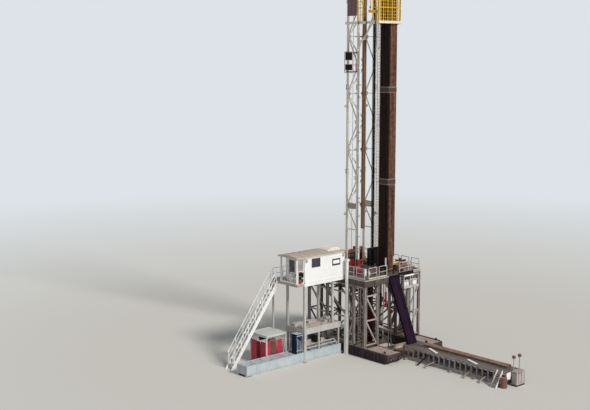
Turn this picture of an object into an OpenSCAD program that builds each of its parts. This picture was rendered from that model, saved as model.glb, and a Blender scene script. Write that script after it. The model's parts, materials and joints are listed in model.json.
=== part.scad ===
// Land drilling rig, a 1:2 scale model.
// Origin: the well centre at ground level. +X is the off-driller side,
// -Y is the V-door side with the catwalk, +Z is up. All sizes are model millimetres.

/* [Substructure] */
// Height of the drill floor above the ground
floor_h = 3800; // [3400:50:4600]
// Width of the drill floor
floor_w = 3900; // [3700:50:4800]
// Distance from the well to the front edge of the floor
floor_front = 1550; // [1500:50:2000]
// Distance from the well to the back edge of the floor
floor_back = 2450; // [2300:50:3400]
// Depth of the floor beams
floor_beam_h = 330; // [240:10:450]
// Thickness of the deck plate
deck_t = 24; // [12:2:40]
// Height of the base boxes
base_h = 460; // [350:10:600]
// Width of each base box
base_w = 950; // [800:10:1100]
// Length of the base boxes in front of the floor edge
base_reach = 1500; // [1000:50:2000]
// Section of the substructure posts
sub_post = 110; // [80:5:150]
// Section of the substructure braces
sub_brace = 60; // [40:5:80]
// Distance from the well to the middle of the narrow braced bay
pair_at = 530; // [450:10:700]
// Width of the narrow braced bay
pair_w = 435; // [300:5:600]

/* [Floor equipment] */
// Diameter of the rotary table opening
rotary_d = 480; // [350:10:560]
// Length of the drawworks
drawworks_l = 2000; // [1600:50:2400]
// Diameter of the drawworks drum
drum_d = 420; // [300:10:500]
// Height of the wind wall behind the well
wind_h = 900; // [600:50:1400]
// Height of the handrails
rail_h = 550; // [450:10:600]
// Side of the square handrail tubes
rail_d = 26; // [16:2:34]
// Width of one handrail panel
rail_panel = 560; // [400:20:900]
// Space between two handrail panels
rail_space = 140; // [60:10:200]
// Height of the light post above the floor
light_h = 760; // [500:20:1500]

/* [Mast] */
// Width of the mast over the leg centres
mast_w = 1200; // [1000:20:1300]
// Depth of the mast over the leg centres
mast_d = 700; // [600:20:900]
// Distance from the well to the front legs
mast_back = 375; // [360:5:500]
// Section of the mast legs
leg_s = 90; // [70:5:110]
// Section of the mast braces
brace_s = 46; // [30:2:60]
// Height of the open portal at the foot
portal_h = 2030; // [1500:10:2600]
// Height of the first braced bay
first_bay = 1170; // [900:10:1500]
// Height of each further half bay of the zigzag
half_bay = 1372; // [1100:2:1500]
// Number of further half bays
mast_bays = 14; // [12:1:15]

/* [Racking board] */
// Length of the racked stands
stand_l = 13300; // [11000:50:14500]
// Length of the stands above the racking board
stand_over = 1230; // [800:10:1600]
// Width of a finger
finger_w = 18; // [10:1:20]
// Width of the diving board
dive_w = 180; // [120:10:220]
// Diameter of a drill pipe
pipe_d = 68; // [50:1:70]
// Spacing of the racked pipes
pipe_pitch = 92; // [90:1:110]
// Rows of racked pipe across
rack_nx = 6; // [2:1:7]
// Rows of racked pipe in depth
rack_ny = 7; // [2:1:8]
// Distance from the well to the last row of racked pipe
rack_back = 356; // [350:2:420]
// Height of the fence round the racking board
fence_h = 1300; // [900:50:1500]

/* [Crown and travelling gear] */
// Diameter of the crown sheaves
sheave_d = 620; // [500:10:640]
// Number of crown sheaves
sheave_n = 5; // [3:1:5]
// Height of the travelling block above the floor
block_h = 16300; // [15500:100:17500]
// Diameter of the drilling line
line_d = 18; // [12:1:24]
// Width of the guide rail
guide_w = 160; // [120:10:200]

/* [Doghouse] */
// Length of the doghouse
dog_l = 2600; // [2300:50:3000]
// Depth of the doghouse
dog_d = 1300; // [1100:50:1400]
// Height of the doghouse walls
dog_h = 1200; // [1100:25:1500]
// Thickness of its walls
dog_wall = 50; // [30:5:80]
// Height of its doorways
door_h = 1020; // [900:10:1080]
// Width of its doorways
door_w = 430; // [350:10:480]
// Rise of the bowed roof
roof_rise = 70; // [40:5:120]

/* [Landing and stair] */
// Length of the landing beyond the doghouse
landing_l = 470; // [400:10:600]
// Width of the stair
stair_w = 450; // [380:10:600]
// Horizontal run of the stair
stair_run = 2875; // [2500:25:4500]
// Number of treads
tread_n = 17; // [14:1:24]

/* [V-door ramp and catwalk] */
// Width of the ramp trough
ramp_w = 600; // [400:10:700]
// Length of the ramp's foot that rests on the catwalk
ramp_foot = 200; // [80:10:400]
// Height of the catwalk deck
walk_h = 650; // [550:10:800]
// Width of the catwalk
walk_w = 950; // [800:10:1200]
// Distance from the well to the near end of the catwalk
walk_start = 2650; // [2500:50:3200]
// Length of the catwalk
walk_l = 6050; // [4000:50:9000]
// Diameter of the pipes lying on the catwalk
casing_d = 110; // [70:5:130]

/* [Skids] */
// Height of the skid boxes beside the substructure
skid_h = 500; // [400:10:700]
// Depth of the skid boxes
skid_d = 700; // [500:10:760]
// Length of the outer skid box
outer_l = 3480; // [2400:10:3600]
// Top of the platform under the doghouse
mid_h = 1550; // [1300:25:1900]
// Depth of that platform's frame
mid_beam = 250; // [180:10:320]
// Length of the power unit
power_l = 1230; // [1000:10:1500]
// Height of the small roof over the power unit
shelter_h = 1450; // [1250:25:1600]

/* [Hidden] */

// Clearance between pieces that stand beside each other
gap = 0.3;
// Overshoot of a cutting shape past the face that it cuts
cut = 1;

// Edges of the floor
floor_x = floor_w / 2;
floor_under = floor_h - deck_t - floor_beam_h;
floor_len = floor_front + floor_back;
// Base boxes lie flush with the floor edges
base_in = floor_x - base_w;
base_front = floor_front + base_reach;
base_ski = 170;

// Mast: the sides stand on the legs' centres, and the braces start above the portal
leg_x = mast_w / 2;
leg_y0 = mast_back;
leg_y1 = mast_back + mast_d;
node_z = [for (i = [0:mast_bays]) floor_h + portal_h + first_bay + i * half_bay];
portal_z = floor_h + portal_h;
mast_top = node_z[mast_bays] + leg_s / 2;
splice_lip = 18;

// Posts of the side frames, from the front tower to the back
sub_y = [-floor_front + sub_post / 2, -pair_at - pair_w / 2, -pair_at + pair_w / 2,
    leg_y1, floor_back - sub_post / 2];
// Three brace levels, the first and the last at set distances from box and beams
sub_foot = 150;
sub_head = 450;
sub_z = [for (k = [0:2]) base_h + sub_foot + k * (floor_under - base_h - sub_foot - sub_head) / 2];

// Racked pipe stands on a mat, right of the diving board
mat_t = 30;
rack_x0 = dive_w / 2 + 35;
rack_x1 = rack_x0 + rack_nx * pipe_pitch;
rack_y1 = -rack_back;
rack_y0 = rack_y1 - rack_ny * pipe_pitch;
// Racking board: a frame round the racks, hung from the mast
board_z = floor_h + mat_t + stand_l - stand_over;
board_beam = 80;
board_t = 60;
board_x = rack_x1 + board_beam;
board_y0 = rack_y0 - board_beam - 40;
board_y1 = leg_y0 - leg_s / 2 - splice_lip - gap;
fence_t = 40;

// Doghouse stands beside the floor
dog_x1 = -floor_x - gap;
dog_x0 = dog_x1 - dog_l;
dog_y0 = -150;
dog_y1 = dog_y0 + dog_d;
dog_skid_h = 150;
dog_door_y = dog_y0 + dog_d / 2;
post_s = 100;
porch_s = 50;
porch_y1 = dog_y1 - 200;
// Landing and stair
land_x0 = dog_x0 - landing_l;
stair_y0 = dog_y1 + 25;
stair_y1 = stair_y0 + stair_w;
land_h = 120;
stair_x0 = land_x0 - stair_run;
stair_lip = 60;
stair_slope = floor_h / (land_x0 - stair_lip - stair_x0);
string_t = 40;

// Skid boxes in one row, in front of the doghouse's posts
skid_y0 = dog_y0 + 20;
skid_y1 = skid_y0 + skid_d;
tray = 50;
// Platform under the doghouse
mid_l = dog_l - 100;
mid_y0 = dog_y0 + post_s + gap;
mid_y1 = dog_y1 - post_s - gap;
mid_post = 70;
// Power unit, behind the outer skid box and under the stair
power_x0 = dog_x0 - 490 - power_l;
power_y0 = skid_y1 + gap;
power_d = 1200;
power_skid_h = 100;
shelter_t = 60;
shelter_post = 50;

// Catwalk and ramp
walk_y0 = -walk_start - walk_l;
walk_x = walk_w / 2;
walk_deck_t = 30;
ramp_top_y = -floor_front - gap;
ramp_plate = 50;
ramp_side = 150;

// Drawworks
draw_y = leg_y1 + 485;
draw_skid_h = 110;
drum_z = floor_h + draw_skid_h + 380;
draw_frame_x = 420;

// Crown
crown_h = 200;
crown_z = mast_top + crown_h;
crown_y0 = -460;
crown_y1 = leg_y1 + 345;
axle_d = 110;
axle_z = crown_z + 360;
sheave_t = 66;
sheave_pitch = 78;
groove_r = sheave_d / 2 - 30;
cheek_x = sheave_n * sheave_pitch / 2 + 45;
cheek_t = 60;
line_y = groove_r + line_d / 2 + gap;
fast_y = leg_y1 - 85;
// Travelling block and the guide rail behind it
block_z = floor_h + block_h;
guide_y0 = leg_y0 + 125;
guide_d = 120;

// A round tube from point a to point b
module rod(a, b, d) {
    v = b - a;
    translate(a)
        rotate([0, acos(v[2] / norm(v)), atan2(v[1], v[0])])
            cylinder(h = norm(v), d = d, $fn = 24);
}

// A flat bar in the plane of the sheet, for lattice webs
module strip(a, b, w) {
    d = b - a;
    translate(a)
        rotate(atan2(d[1], d[0]))
            translate([0, -w / 2])
                square([norm(d), w]);
}

// Stands a flat drawing up in the YZ plane, centred on x
module upright_yz(x, t) {
    translate([x - t / 2, 0, 0])
        rotate([90, 0, 90])
            linear_extrude(t)
                children();
}

// Stands a flat drawing up in the XZ plane, centred on y
module upright_xz(y, t) {
    translate([0, y + t / 2, 0])
        rotate([90, 0, 0])
            linear_extrude(t)
                children();
}

// A drawing of a frame of nx by nz panes, with a border and thinner bars
module pane_frame(w, h, nx, nz, border, bar) {
    pane_w = (w - 2 * border - (nx - 1) * bar) / nx;
    pane_h = (h - 2 * border - (nz - 1) * bar) / nz;
    difference() {
        square([w, h]);
        for (i = [0:nx - 1], k = [0:nz - 1])
            translate([border + i * (pane_w + bar), border + k * (pane_h + bar)])
                square([pane_w, pane_h]);
    }
}

// A drawing of a ladder, with its rungs at about the given step
module ladder_drawing(w, h, rail, rung, step) {
    n = round(h / step);
    pitch = h / n;
    difference() {
        square([w, h]);
        translate([rail, -cut])
            square([w - 2 * rail, pitch - rung + cut]);
        for (i = [1:n - 1])
            translate([rail, i * pitch])
                square([w - 2 * rail, pitch - rung]);
    }
}

// A drawing of an I-section, centred across, from its lower flange up
module i_section(w, h, t) {
    translate([-w / 2, 0])
        square([w, t]);
    translate([-w / 2, h - t])
        square([w, t]);
    translate([-t / 2, 0])
        square([t, h]);
}

// One handrail in the XZ plane from x0 to x1: outlined panels on a toe plate
module rail_run(x0, x1) {
    toe = 75;
    n = max(1, round((x1 - x0 + rail_space) / (rail_panel + rail_space)));
    w = (x1 - x0 + rail_space) / n - rail_space;
    upright_xz(0, rail_d) {
        translate([x0, 0])
            square([x1 - x0, toe]);
        for (i = [0:n - 1])
            translate([x0 + i * (w + rail_space), 0])
                pane_frame(w, rail_h, 1, 2, rail_d, rail_d);
    }
}

// Pockets between the upright ribs of a base box, cut into its face at x
module web_pockets(x, depth) {
    rib = 120;
    flange = 60;
    ends = concat([-base_front + base_ski], [for (i = [0:3]) sub_y[i]], [floor_back - base_ski]);
    for (k = [0:len(ends) - 2]) {
        n = max(1, round((ends[k + 1] - ends[k]) / 650));
        step = (ends[k + 1] - ends[k]) / n;
        for (i = [0:n - 1])
            translate([x, ends[k] + i * step + rib / 2, flange])
                cube([depth, step - rib, base_h - 2 * flange]);
    }
}

// A base box: ski ends, ribbed side webs, and pin lugs at its front
module base_box(side) {
    x0 = side > 0 ? base_in : -floor_x;
    web_back = 45;
    lug_r = 80;
    lug_out = 100;
    lug_z = base_h * 0.55;
    color("dimgray") {
        difference() {
            upright_yz(x0 + base_w / 2, base_w)
                polygon([[-base_front, base_ski], [-base_front + base_ski, 0],
                    [floor_back - base_ski, 0], [floor_back, base_ski],
                    [floor_back, base_h], [-base_front, base_h]]);
            web_pockets(x0 - cut, web_back + cut);
            web_pockets(x0 + base_w - web_back, web_back + cut);
        }
        for (x = [x0 + 190, x0 + base_w - 190])
            upright_yz(x, 50)
                difference() {
                    union() {
                        translate([-base_front - lug_out, lug_z])
                            circle(lug_r, $fn = 32);
                        translate([-base_front - lug_out, lug_z - lug_r])
                            square([lug_out + cut, 2 * lug_r]);
                    }
                    translate([-base_front - lug_out, lug_z])
                        circle(lug_r * 0.45, $fn = 32);
                }
    }
}

module base_box_left() {
    base_box(-1);
}

module base_box_right() {
    base_box(1);
}

// Rolled beams between the base boxes, at the ribs under the posts
module base_spreaders() {
    color("dimgray")
        for (i = [0, 2, 3, 4])
            upright_yz(0, 2 * (base_in - gap))
                translate([sub_y[i], 60])
                    i_section(sub_post, 200, 16);
}

// A side frame of the substructure, in the YZ plane at x: a ladder bay with
// no braces at its front, then zigzags that meet on the posts
module side_truss(x) {
    last = len(sub_y) - 1;
    head_z = floor_under - sub_brace / 2;
    color("silver") {
        for (y = sub_y)
            translate([x - sub_post / 2, y - sub_post / 2, base_h])
                cube([sub_post, sub_post, floor_under - base_h]);
        upright_yz(x, sub_brace) {
            strip([sub_y[0], head_z], [sub_y[last], head_z], sub_brace);
            for (i = [1:last - 1]) {
                y0 = sub_y[i];
                y1 = sub_y[i + 1];
                for (z = sub_z)
                    strip([y0, z], [y1, z], sub_brace);
                strip([y1, sub_z[0]], [y0, sub_z[1]], sub_brace);
                strip([y0, sub_z[1]], [y1, sub_z[2]], sub_brace);
            }
        }
    }
}

// Cross frames between the outer and the inner side frame, one at each pair of posts
module cross_frames(side) {
    x_out = side * (floor_x - sub_post - gap);
    x_in = side * (base_in + sub_post + gap);
    x0 = min(x_out, x_in);
    x1 = max(x_out, x_in);
    color("silver")
        for (y = sub_y)
            upright_xz(y, sub_brace)
                intersection() {
                    union() {
                        for (z = sub_z)
                            strip([x0, z], [x1, z], sub_brace);
                        for (k = [0, 1])
                            strip([x_out, sub_z[k + 1]], [x_in, sub_z[k]], sub_brace);
                    }
                    translate([x0, base_h])
                        square([x1 - x0, floor_under - base_h]);
                }
}

// The outer frame on the doghouse side also holds the ladder out of the cellar
module left_outer_truss() {
    x = -floor_x + sub_post / 2;
    ladder_w = 150;
    ladder_y = (sub_y[0] + sub_y[1] - ladder_w) / 2;
    side_truss(x);
    color("silver")
        upright_yz(x, 20)
            translate([ladder_y, base_h])
                ladder_drawing(ladder_w, floor_under - base_h - sub_brace - gap, 20, 20, 150);
}

module left_inner_truss() {
    side_truss(-base_in - sub_post / 2);
}

module left_cross_frames() {
    cross_frames(-1);
}

module right_outer_truss() {
    side_truss(floor_x - sub_post / 2);
}

module right_inner_truss() {
    side_truss(base_in + sub_post / 2);
}

module right_cross_frames() {
    cross_frames(1);
}

// Floor beams: a grid under the rotary table and the mast legs, with
// channel-shaped edge beams whose webs show stiffeners
module floor_beams() {
    beam_t = 120;
    flange = 40;
    web_back = 26;
    rib = 24;
    cols = [-floor_x + beam_t / 2, -leg_x, leg_x, floor_x - beam_t / 2];
    rows = [-floor_front + beam_t / 2, -rotary_d / 2 - 180, leg_y0 + leg_s / 2, leg_y1,
        (leg_y1 + floor_back) / 2, floor_back - beam_t / 2];
    bays = 6;
    step_x = (floor_w - rib) / bays;
    step_y = (floor_len - rib) / bays;
    web_h = floor_beam_h - 2 * flange;
    color("lightgray")
        difference() {
            translate([0, 0, floor_under])
                linear_extrude(floor_beam_h)
                    difference() {
                        translate([-floor_x, -floor_front])
                            square([floor_w, floor_len]);
                        for (i = [0:len(cols) - 2], j = [0:len(rows) - 2])
                            translate([cols[i] + beam_t / 2, rows[j] + beam_t / 2])
                                square([cols[i + 1] - cols[i] - beam_t, rows[j + 1] - rows[j] - beam_t]);
                    }
            for (i = [0:bays - 1], y = [-floor_front - cut, floor_back - web_back])
                translate([-floor_x + rib + i * step_x, y, floor_under + flange])
                    cube([step_x - rib, web_back + cut, web_h]);
            for (i = [0:bays - 1], x = [-floor_x - cut, floor_x - web_back])
                translate([x, -floor_front + rib + i * step_y, floor_under + flange])
                    cube([web_back + cut, step_y - rib, web_h]);
        }
}

// Deck plate with the rotary opening, and the mats that racked pipe stands on
module floor_deck() {
    lap = 20;
    color("gray") {
        difference() {
            translate([-floor_x, -floor_front, floor_h - deck_t])
                cube([floor_w, floor_len, deck_t]);
            translate([0, 0, floor_h - deck_t - cut])
                cylinder(h = deck_t + 2 * cut, d = rotary_d + 2 * gap, $fn = 48);
        }
        for (s = [-1, 1])
            translate([s > 0 ? rack_x0 - lap : -rack_x1 - lap, rack_y0 - lap, floor_h - cut])
                cube([rack_x1 - rack_x0 + 2 * lap, rack_y1 - rack_y0 + 2 * lap, mat_t + cut]);
    }
}

// Rotary table: a stepped ring with its bore, seated in the deck
module rotary_table() {
    r = rotary_d / 2;
    bore = r / 2;
    color("dimgray")
        rotate_extrude($fn = 64)
            polygon([[bore, floor_h - deck_t], [r, floor_h - deck_t], [r, floor_h + gap],
                [r + 40, floor_h + gap], [r + 40, floor_h + 55], [r + 15, floor_h + 80],
                [r - 50, floor_h + 80], [r - 60, floor_h + 60], [bore, floor_h + 60]]);
}

module front_floor_rail() {
    v_door = ramp_w / 2 + 140;
    color("gainsboro")
        translate([0, -floor_front + rail_d, floor_h]) {
            rail_run(-floor_x + 250, -v_door);
            rail_run(v_door, floor_x - 60);
        }
}

// The left rail leaves the doghouse's door and the landing's walkway open
module left_floor_rail() {
    color("gainsboro")
        translate([-floor_x + rail_d, 0, floor_h])
            rotate([0, 0, 90]) {
                rail_run(-floor_front + 60, dog_y0 - 60);
                rail_run(stair_y1 + 30, floor_back - 60);
            }
}

module right_floor_rail() {
    color("gainsboro")
        translate([floor_x - rail_d, 0, floor_h])
            rotate([0, 0, 90])
                rail_run(-floor_front + 60, floor_back - 60);
}

module back_floor_rail() {
    color("gainsboro")
        translate([0, floor_back - rail_d, floor_h])
            rail_run(-floor_x + 60, floor_x - 60);
}

// A drum, brake disc or motor of the drawworks, along X between x0 and x1
module along_x(x0, x1, y, z, d) {
    translate([x0, y, z])
        rotate([0, 90, 0])
            cylinder(h = x1 - x0, d = d, $fn = 48);
}

// Drawworks: skid, drum between two side frames, gearbox and two motors
module drawworks() {
    skid_d = 660;
    half = drawworks_l / 2;
    top = floor_h + draw_skid_h;
    frame_t = 60;
    frame_w = 520;
    flange_x = draw_frame_x - 90;
    brake_x = draw_frame_x + 110;
    color("firebrick") {
        difference() {
            translate([-half, draw_y - skid_d / 2, floor_h])
                cube([drawworks_l, skid_d, draw_skid_h]);
            for (s = [-1, 1])
                translate([-half + 60, draw_y + s * skid_d / 2 - 30, floor_h + 20])
                    cube([drawworks_l - 120, 60, draw_skid_h - 40]);
        }
        for (s = [-1, 1])
            upright_yz(s * draw_frame_x, frame_t) {
                translate([draw_y - frame_w / 2, top - cut])
                    square([frame_w, drum_z - top]);
                translate([draw_y, drum_z])
                    circle(d = frame_w, $fn = 64);
            }
        along_x(-draw_frame_x, draw_frame_x, draw_y, drum_z, drum_d);
        for (s = [-1, 1])
            along_x(s * flange_x - 20, s * flange_x + 20, draw_y, drum_z, drum_d + 190);
        for (s = [-1, 1])
            along_x(s * brake_x - 15, s * brake_x + 15, draw_y, drum_z, drum_d + 60);
        along_x(-draw_frame_x - 130, draw_frame_x + 130, draw_y, drum_z, 120);
        translate([draw_frame_x + 140, draw_y - 240, top - cut])
            cube([half - draw_frame_x - 180, 480, 760]);
        for (y = [draw_y - 150, draw_y + 150]) {
            along_x(-half + 30, -draw_frame_x - 140, y, top + 190, 270);
            translate([-half + 60, y - 100, top - cut])
                cube([half - draw_frame_x - 230, 200, 90]);
            translate([-half + 90, y - 90, top + 300])
                cube([200, 180, 240]);
        }
    }
}

// Wind wall right of the mast: sheeting on three posts
module wind_wall() {
    x0 = leg_x + 100;
    x1 = floor_x - 60;
    y = leg_y1 - 175;
    post = 50;
    color("black") {
        upright_xz(y, 12)
            translate([x0, floor_h])
                square([x1 - x0, wind_h]);
        for (x = [x0, (x0 + x1 - post) / 2, x1 - post])
            translate([x, y - post / 2, floor_h])
                cube([post, post, wind_h]);
        translate([x0, y - post / 2, floor_h + wind_h - post])
            cube([x1 - x0, post, post]);
    }
}

// A ram preventer: body, bonnets to either side, and flanges on top and bottom
module ram_preventer(z) {
    body_h = 330;
    cyl_z = z + 50 + body_h / 2;
    translate([-180, -185, z + 50])
        cube([360, 370, body_h]);
    for (s = [-1, 1]) {
        translate([s * 205 - 30, -150, z + 90])
            cube([60, 300, body_h - 80]);
        along_x(s > 0 ? 230 : -345, s > 0 ? 345 : -230, 0, cyl_z, 220);
        along_x(s > 0 ? 340 : -388, s > 0 ? 388 : -340, 0, cyl_z, 130);
    }
    for (f = [z, z + 50 + body_h])
        translate([0, 0, f])
            cylinder(h = 51, d = 420, $fn = 48);
}

// Blowout preventer stack from the wellhead up to the rotary table, and the
// two hydraulic hoists that hang beside it under the floor
module blowout_preventer() {
    ram_1 = 420;
    ram_pitch = 430;
    annular = ram_1 + 2 * ram_pitch;
    annular_d = 520;
    annular_h = 460;
    nipple_d = rotary_d * 0.6;
    hoist_y = -rotary_d / 2 - 180;
    hoist_x = 325;
    hoist_z = 2000;
    color("firebrick") {
        cylinder(h = ram_1 + cut, d = 300, $fn = 48);
        cylinder(h = 70, d = 460, $fn = 48);
        ram_preventer(ram_1);
        ram_preventer(ram_1 + ram_pitch);
        translate([0, 0, annular])
            cylinder(h = annular_h, d = annular_d, $fn = 64);
        translate([0, 0, annular + annular_h - cut])
            cylinder(h = 90, d1 = annular_d - 20, d2 = annular_d - 180, $fn = 64);
        translate([0, 0, annular + annular_h])
            cylinder(h = floor_h - deck_t - gap - annular - annular_h, d = nipple_d, $fn = 48);
        for (z = [annular + annular_h + 120, floor_under - 260])
            translate([0, 0, z])
                cylinder(h = 60, d = nipple_d + 110, $fn = 48);
        for (s = [-1, 1]) {
            translate([s * hoist_x, hoist_y, hoist_z])
                cylinder(h = 640, d = 100, $fn = 32);
            translate([s * hoist_x, hoist_y, hoist_z + 630])
                cylinder(h = floor_under - gap - hoist_z - 630, d = 40, $fn = 24);
            translate([s * hoist_x - 50, hoist_y - 50, floor_under - gap - 60])
                cube([100, 100, 60]);
            translate([s * hoist_x - 30, hoist_y - 30, hoist_z - 90])
                cube([60, 60, 100]);
        }
    }
}

// Jacking post beside the doghouse's corner: a wide foot, a slim upper part,
// and a floodlight over the floor
module light_post() {
    foot_w = 170;
    foot_t = 130;
    foot_h = floor_h / 2;
    slim = 105;
    x1 = -floor_x - gap;
    y = -370;
    top = floor_h + light_h;
    color("white") {
        translate([x1 - foot_t, y - foot_w / 2, 0])
            cube([foot_t, foot_w, foot_h]);
        translate([x1 - foot_t - 25, y - foot_w / 2 - 25, 0])
            cube([foot_t + 25, foot_w + 50, 40]);
        translate([x1 - slim, y - slim / 2, foot_h - cut])
            cube([slim, slim, top - foot_h + cut]);
        translate([x1 - slim - 15, y - slim / 2 - 15, foot_h - 60])
            cube([slim + 15, slim + 30, 60 + 50]);
        upright_xz(y, 170)
            polygon([[x1 - slim, top - cut], [x1, top - cut], [x1 + 60, top + 40],
                [x1 + 20, top + 120], [x1 - slim, top + 110]]);
    }
}

// Doghouse skid: floor plate on edge beams, open from below
module doghouse_skid() {
    beam = 70;
    plate = 40;
    bays = 3;
    step = (dog_l - beam) / bays;
    color("gainsboro")
        difference() {
            translate([dog_x0, dog_y0, floor_h - dog_skid_h])
                cube([dog_l, dog_d, dog_skid_h]);
            for (i = [0:bays - 1])
                translate([dog_x0 + beam + i * step, dog_y0 + post_s, floor_h - dog_skid_h - cut])
                    cube([step - beam, dog_d - 2 * post_s, dog_skid_h - plate + cut]);
        }
}

// A plain long wall of the doghouse
module long_wall(y0) {
    color("white")
        translate([dog_x0, y0, floor_h])
            cube([dog_l, dog_wall, dog_h]);
}

// An end wall of the doghouse, with a doorway cut from door_y
module end_wall(x0, door_y) {
    color("white")
        difference() {
            translate([x0, dog_y0 + dog_wall, floor_h])
                cube([dog_wall, dog_d - 2 * dog_wall, dog_h]);
            translate([x0 - cut, door_y, floor_h - cut])
                cube([dog_wall + 2 * cut, door_w, door_h + cut]);
        }
}

module doghouse_front_wall() {
    long_wall(dog_y0);
}

module doghouse_back_wall() {
    long_wall(dog_y1 - dog_wall);
}

module doghouse_left_wall() {
    end_wall(dog_x0, dog_door_y);
}

module doghouse_right_wall() {
    end_wall(dog_x1 - dog_wall, dog_door_y);
}

// One bowed roof over the doghouse and over the porch at its left end
module doghouse_roof() {
    eave = 40;
    edge_t = 45;
    x0 = land_x0 - eave;
    y0 = dog_y0 - eave;
    w = dog_d + eave + 20;
    bow_r = (w * w / 4 + roof_rise * roof_rise) / (2 * roof_rise);
    color("tan")
        translate([0, 0, floor_h + dog_h])
            upright_yz((x0 + dog_x1) / 2, dog_x1 - x0) {
                translate([y0, 0])
                    square([w, edge_t]);
                intersection() {
                    translate([y0, edge_t - cut])
                        square([w, roof_rise + 2 * cut]);
                    translate([y0 + w / 2, edge_t + roof_rise - bow_r])
                        circle(bow_r, $fn = 360);
                }
            }
}

// Posts that carry the doghouse, the porch roof, the landing and the platform below
module doghouse_posts() {
    under = floor_h - dog_skid_h;
    mid_under = mid_h - mid_beam;
    inner_x = dog_x1 - 700;
    first_at = 160;
    second_at = 1000;
    last_at = mid_l - 200;
    color("white") {
        for (y = [dog_y0, dog_y1 - post_s])
            translate([dog_x0, y, 0])
                cube([post_s, post_s, under]);
        for (y = [mid_y0, mid_y1 - post_s])
            translate([inner_x, y, mid_h])
                cube([post_s, post_s, under - mid_h]);
        for (x = [first_at, second_at, last_at]) {
            translate([dog_x0 + x, mid_y0, skid_h - tray])
                cube([mid_post, mid_post, mid_under - skid_h + tray]);
            translate([dog_x0 + x, mid_y1 - mid_post, 0])
                cube([mid_post, mid_post, mid_under]);
        }
        for (y = [dog_y0, porch_y1])
            translate([land_x0, y, floor_h])
                cube([porch_s, porch_s, dog_h]);
        translate([land_x0, stair_y1 - mid_post, 0])
            cube([mid_post, mid_post, floor_h - land_h]);
    }
}

// Landing: a porch at the doghouse's left end and a walkway behind the
// doghouse to the floor, hollow from below between edge beams
module landing() {
    edge = 60;
    plate = 30;
    bays = 4;
    porch_w = dog_x0 - gap - land_x0;
    walk_end = -floor_x - gap;
    step = (walk_end - land_x0 - edge) / bays;
    color("silver")
        translate([0, 0, floor_h - land_h])
            difference() {
                union() {
                    translate([land_x0, dog_y0, 0])
                        cube([porch_w, stair_y1 - dog_y0, land_h]);
                    translate([land_x0, stair_y0, 0])
                        cube([walk_end - land_x0, stair_w, land_h]);
                }
                translate([land_x0 + edge, dog_y0 + edge, -cut])
                    cube([porch_w - 2 * edge, stair_y0 - dog_y0 - 2 * edge, land_h - plate + cut]);
                for (i = [0:bays - 1])
                    translate([land_x0 + edge + i * step, stair_y0 + edge, -cut])
                        cube([step - edge, stair_w - 2 * edge, land_h - plate + cut]);
            }
}

// Landing rails: along the porch's front and left sides, and along the walkway
module landing_rail() {
    clear = 20;
    color("white") {
        translate([0, dog_y0 + rail_d, floor_h])
            rail_run(land_x0 + porch_s + clear, dog_x0 - clear);
        translate([land_x0 + rail_d, 0, floor_h])
            rotate([0, 0, 90])
                rail_run(dog_y0 + porch_s + clear, porch_y1 - clear);
        translate([0, stair_y1 - rail_d, floor_h])
            rail_run(land_x0 + clear, -floor_x - 2 * clear);
    }
}

module stair_stringers() {
    web = 230;
    foot = 190;
    color("white")
        for (y = [stair_y0, stair_y1 - string_t])
            upright_xz(y + string_t / 2, string_t)
                polygon([[stair_x0, 0], [stair_x0 + foot, 0], [land_x0 - gap, floor_h - web],
                    [land_x0 - gap, floor_h], [land_x0 - stair_lip, floor_h]]);
}

module stair_treads() {
    step_z = floor_h / (tread_n + 1);
    step_x = step_z / stair_slope;
    tread = 130;
    tread_t = 24;
    color("silver")
        for (i = [1:tread_n])
            translate([stair_x0 + i * step_x, stair_y0 + string_t + gap, i * step_z - tread_t - 6])
                cube([tread, stair_w - 2 * string_t - 2 * gap, tread_t]);
}

// Height of the stringers' upper edge at x
function stair_z(x) = (x - stair_x0) * stair_slope;

module stair_rails() {
    post_n = 6;
    x0 = stair_x0 + 160;
    x1 = land_x0 - stair_lip;
    step = (x1 - x0 - 3 * rail_d) / post_n;
    post_h = rail_h - rail_d / 4;
    color("white")
        for (y = [stair_y0 + string_t / 2, stair_y1 - string_t / 2])
            upright_xz(y, rail_d) {
                for (h = [rail_h / 2, rail_h])
                    strip([x0, stair_z(x0) + h], [x1, stair_z(x1) + h], rail_d);
                for (i = [0:post_n]) {
                    a = x0 + rail_d + i * step;
                    b = a + rail_d;
                    polygon([[a, stair_z(a) + gap], [b, stair_z(b) + gap],
                        [b, stair_z(b) + post_h], [a, stair_z(a) + post_h]]);
                }
            }
}

// Platform under the doghouse: deep edge beams, cross beams and a deck plate
module mid_platform() {
    beam = 70;
    plate = 25;
    bays = 5;
    d = mid_y1 - mid_y0;
    step = (mid_l - beam) / bays;
    color("lightgray")
        difference() {
            translate([dog_x0, mid_y0, mid_h - mid_beam])
                cube([mid_l, d, mid_beam]);
            for (i = [0:bays - 1])
                translate([dog_x0 + beam + i * step, mid_y0 + beam, mid_h - mid_beam - cut])
                    cube([step - beam, d - 2 * beam, mid_beam - plate + cut]);
        }
}

// A skid box with framed side panels, its top sunk inside a rim
module skid_box(x0, w, panels) {
    rim = 40;
    runner_h = 90;
    inset = 12;
    step = (w - rim) / panels;
    panel_h = skid_h - runner_h - 2 * rim;
    color("lightsteelblue") {
        difference() {
            translate([x0, skid_y0, runner_h - cut])
                cube([w, skid_d, skid_h - runner_h + cut]);
            translate([x0 + rim, skid_y0 + rim, skid_h - tray])
                cube([w - 2 * rim, skid_d - 2 * rim, tray + cut]);
            for (i = [0:panels - 1], y = [skid_y0 - cut, skid_y1 - inset])
                translate([x0 + rim + i * step, y, runner_h + rim])
                    cube([step - rim, inset + cut, panel_h]);
        }
        for (y = [skid_y0 + 30, skid_y1 - 110])
            translate([x0, y, 0])
                cube([w, 80, runner_h]);
    }
}

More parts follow.
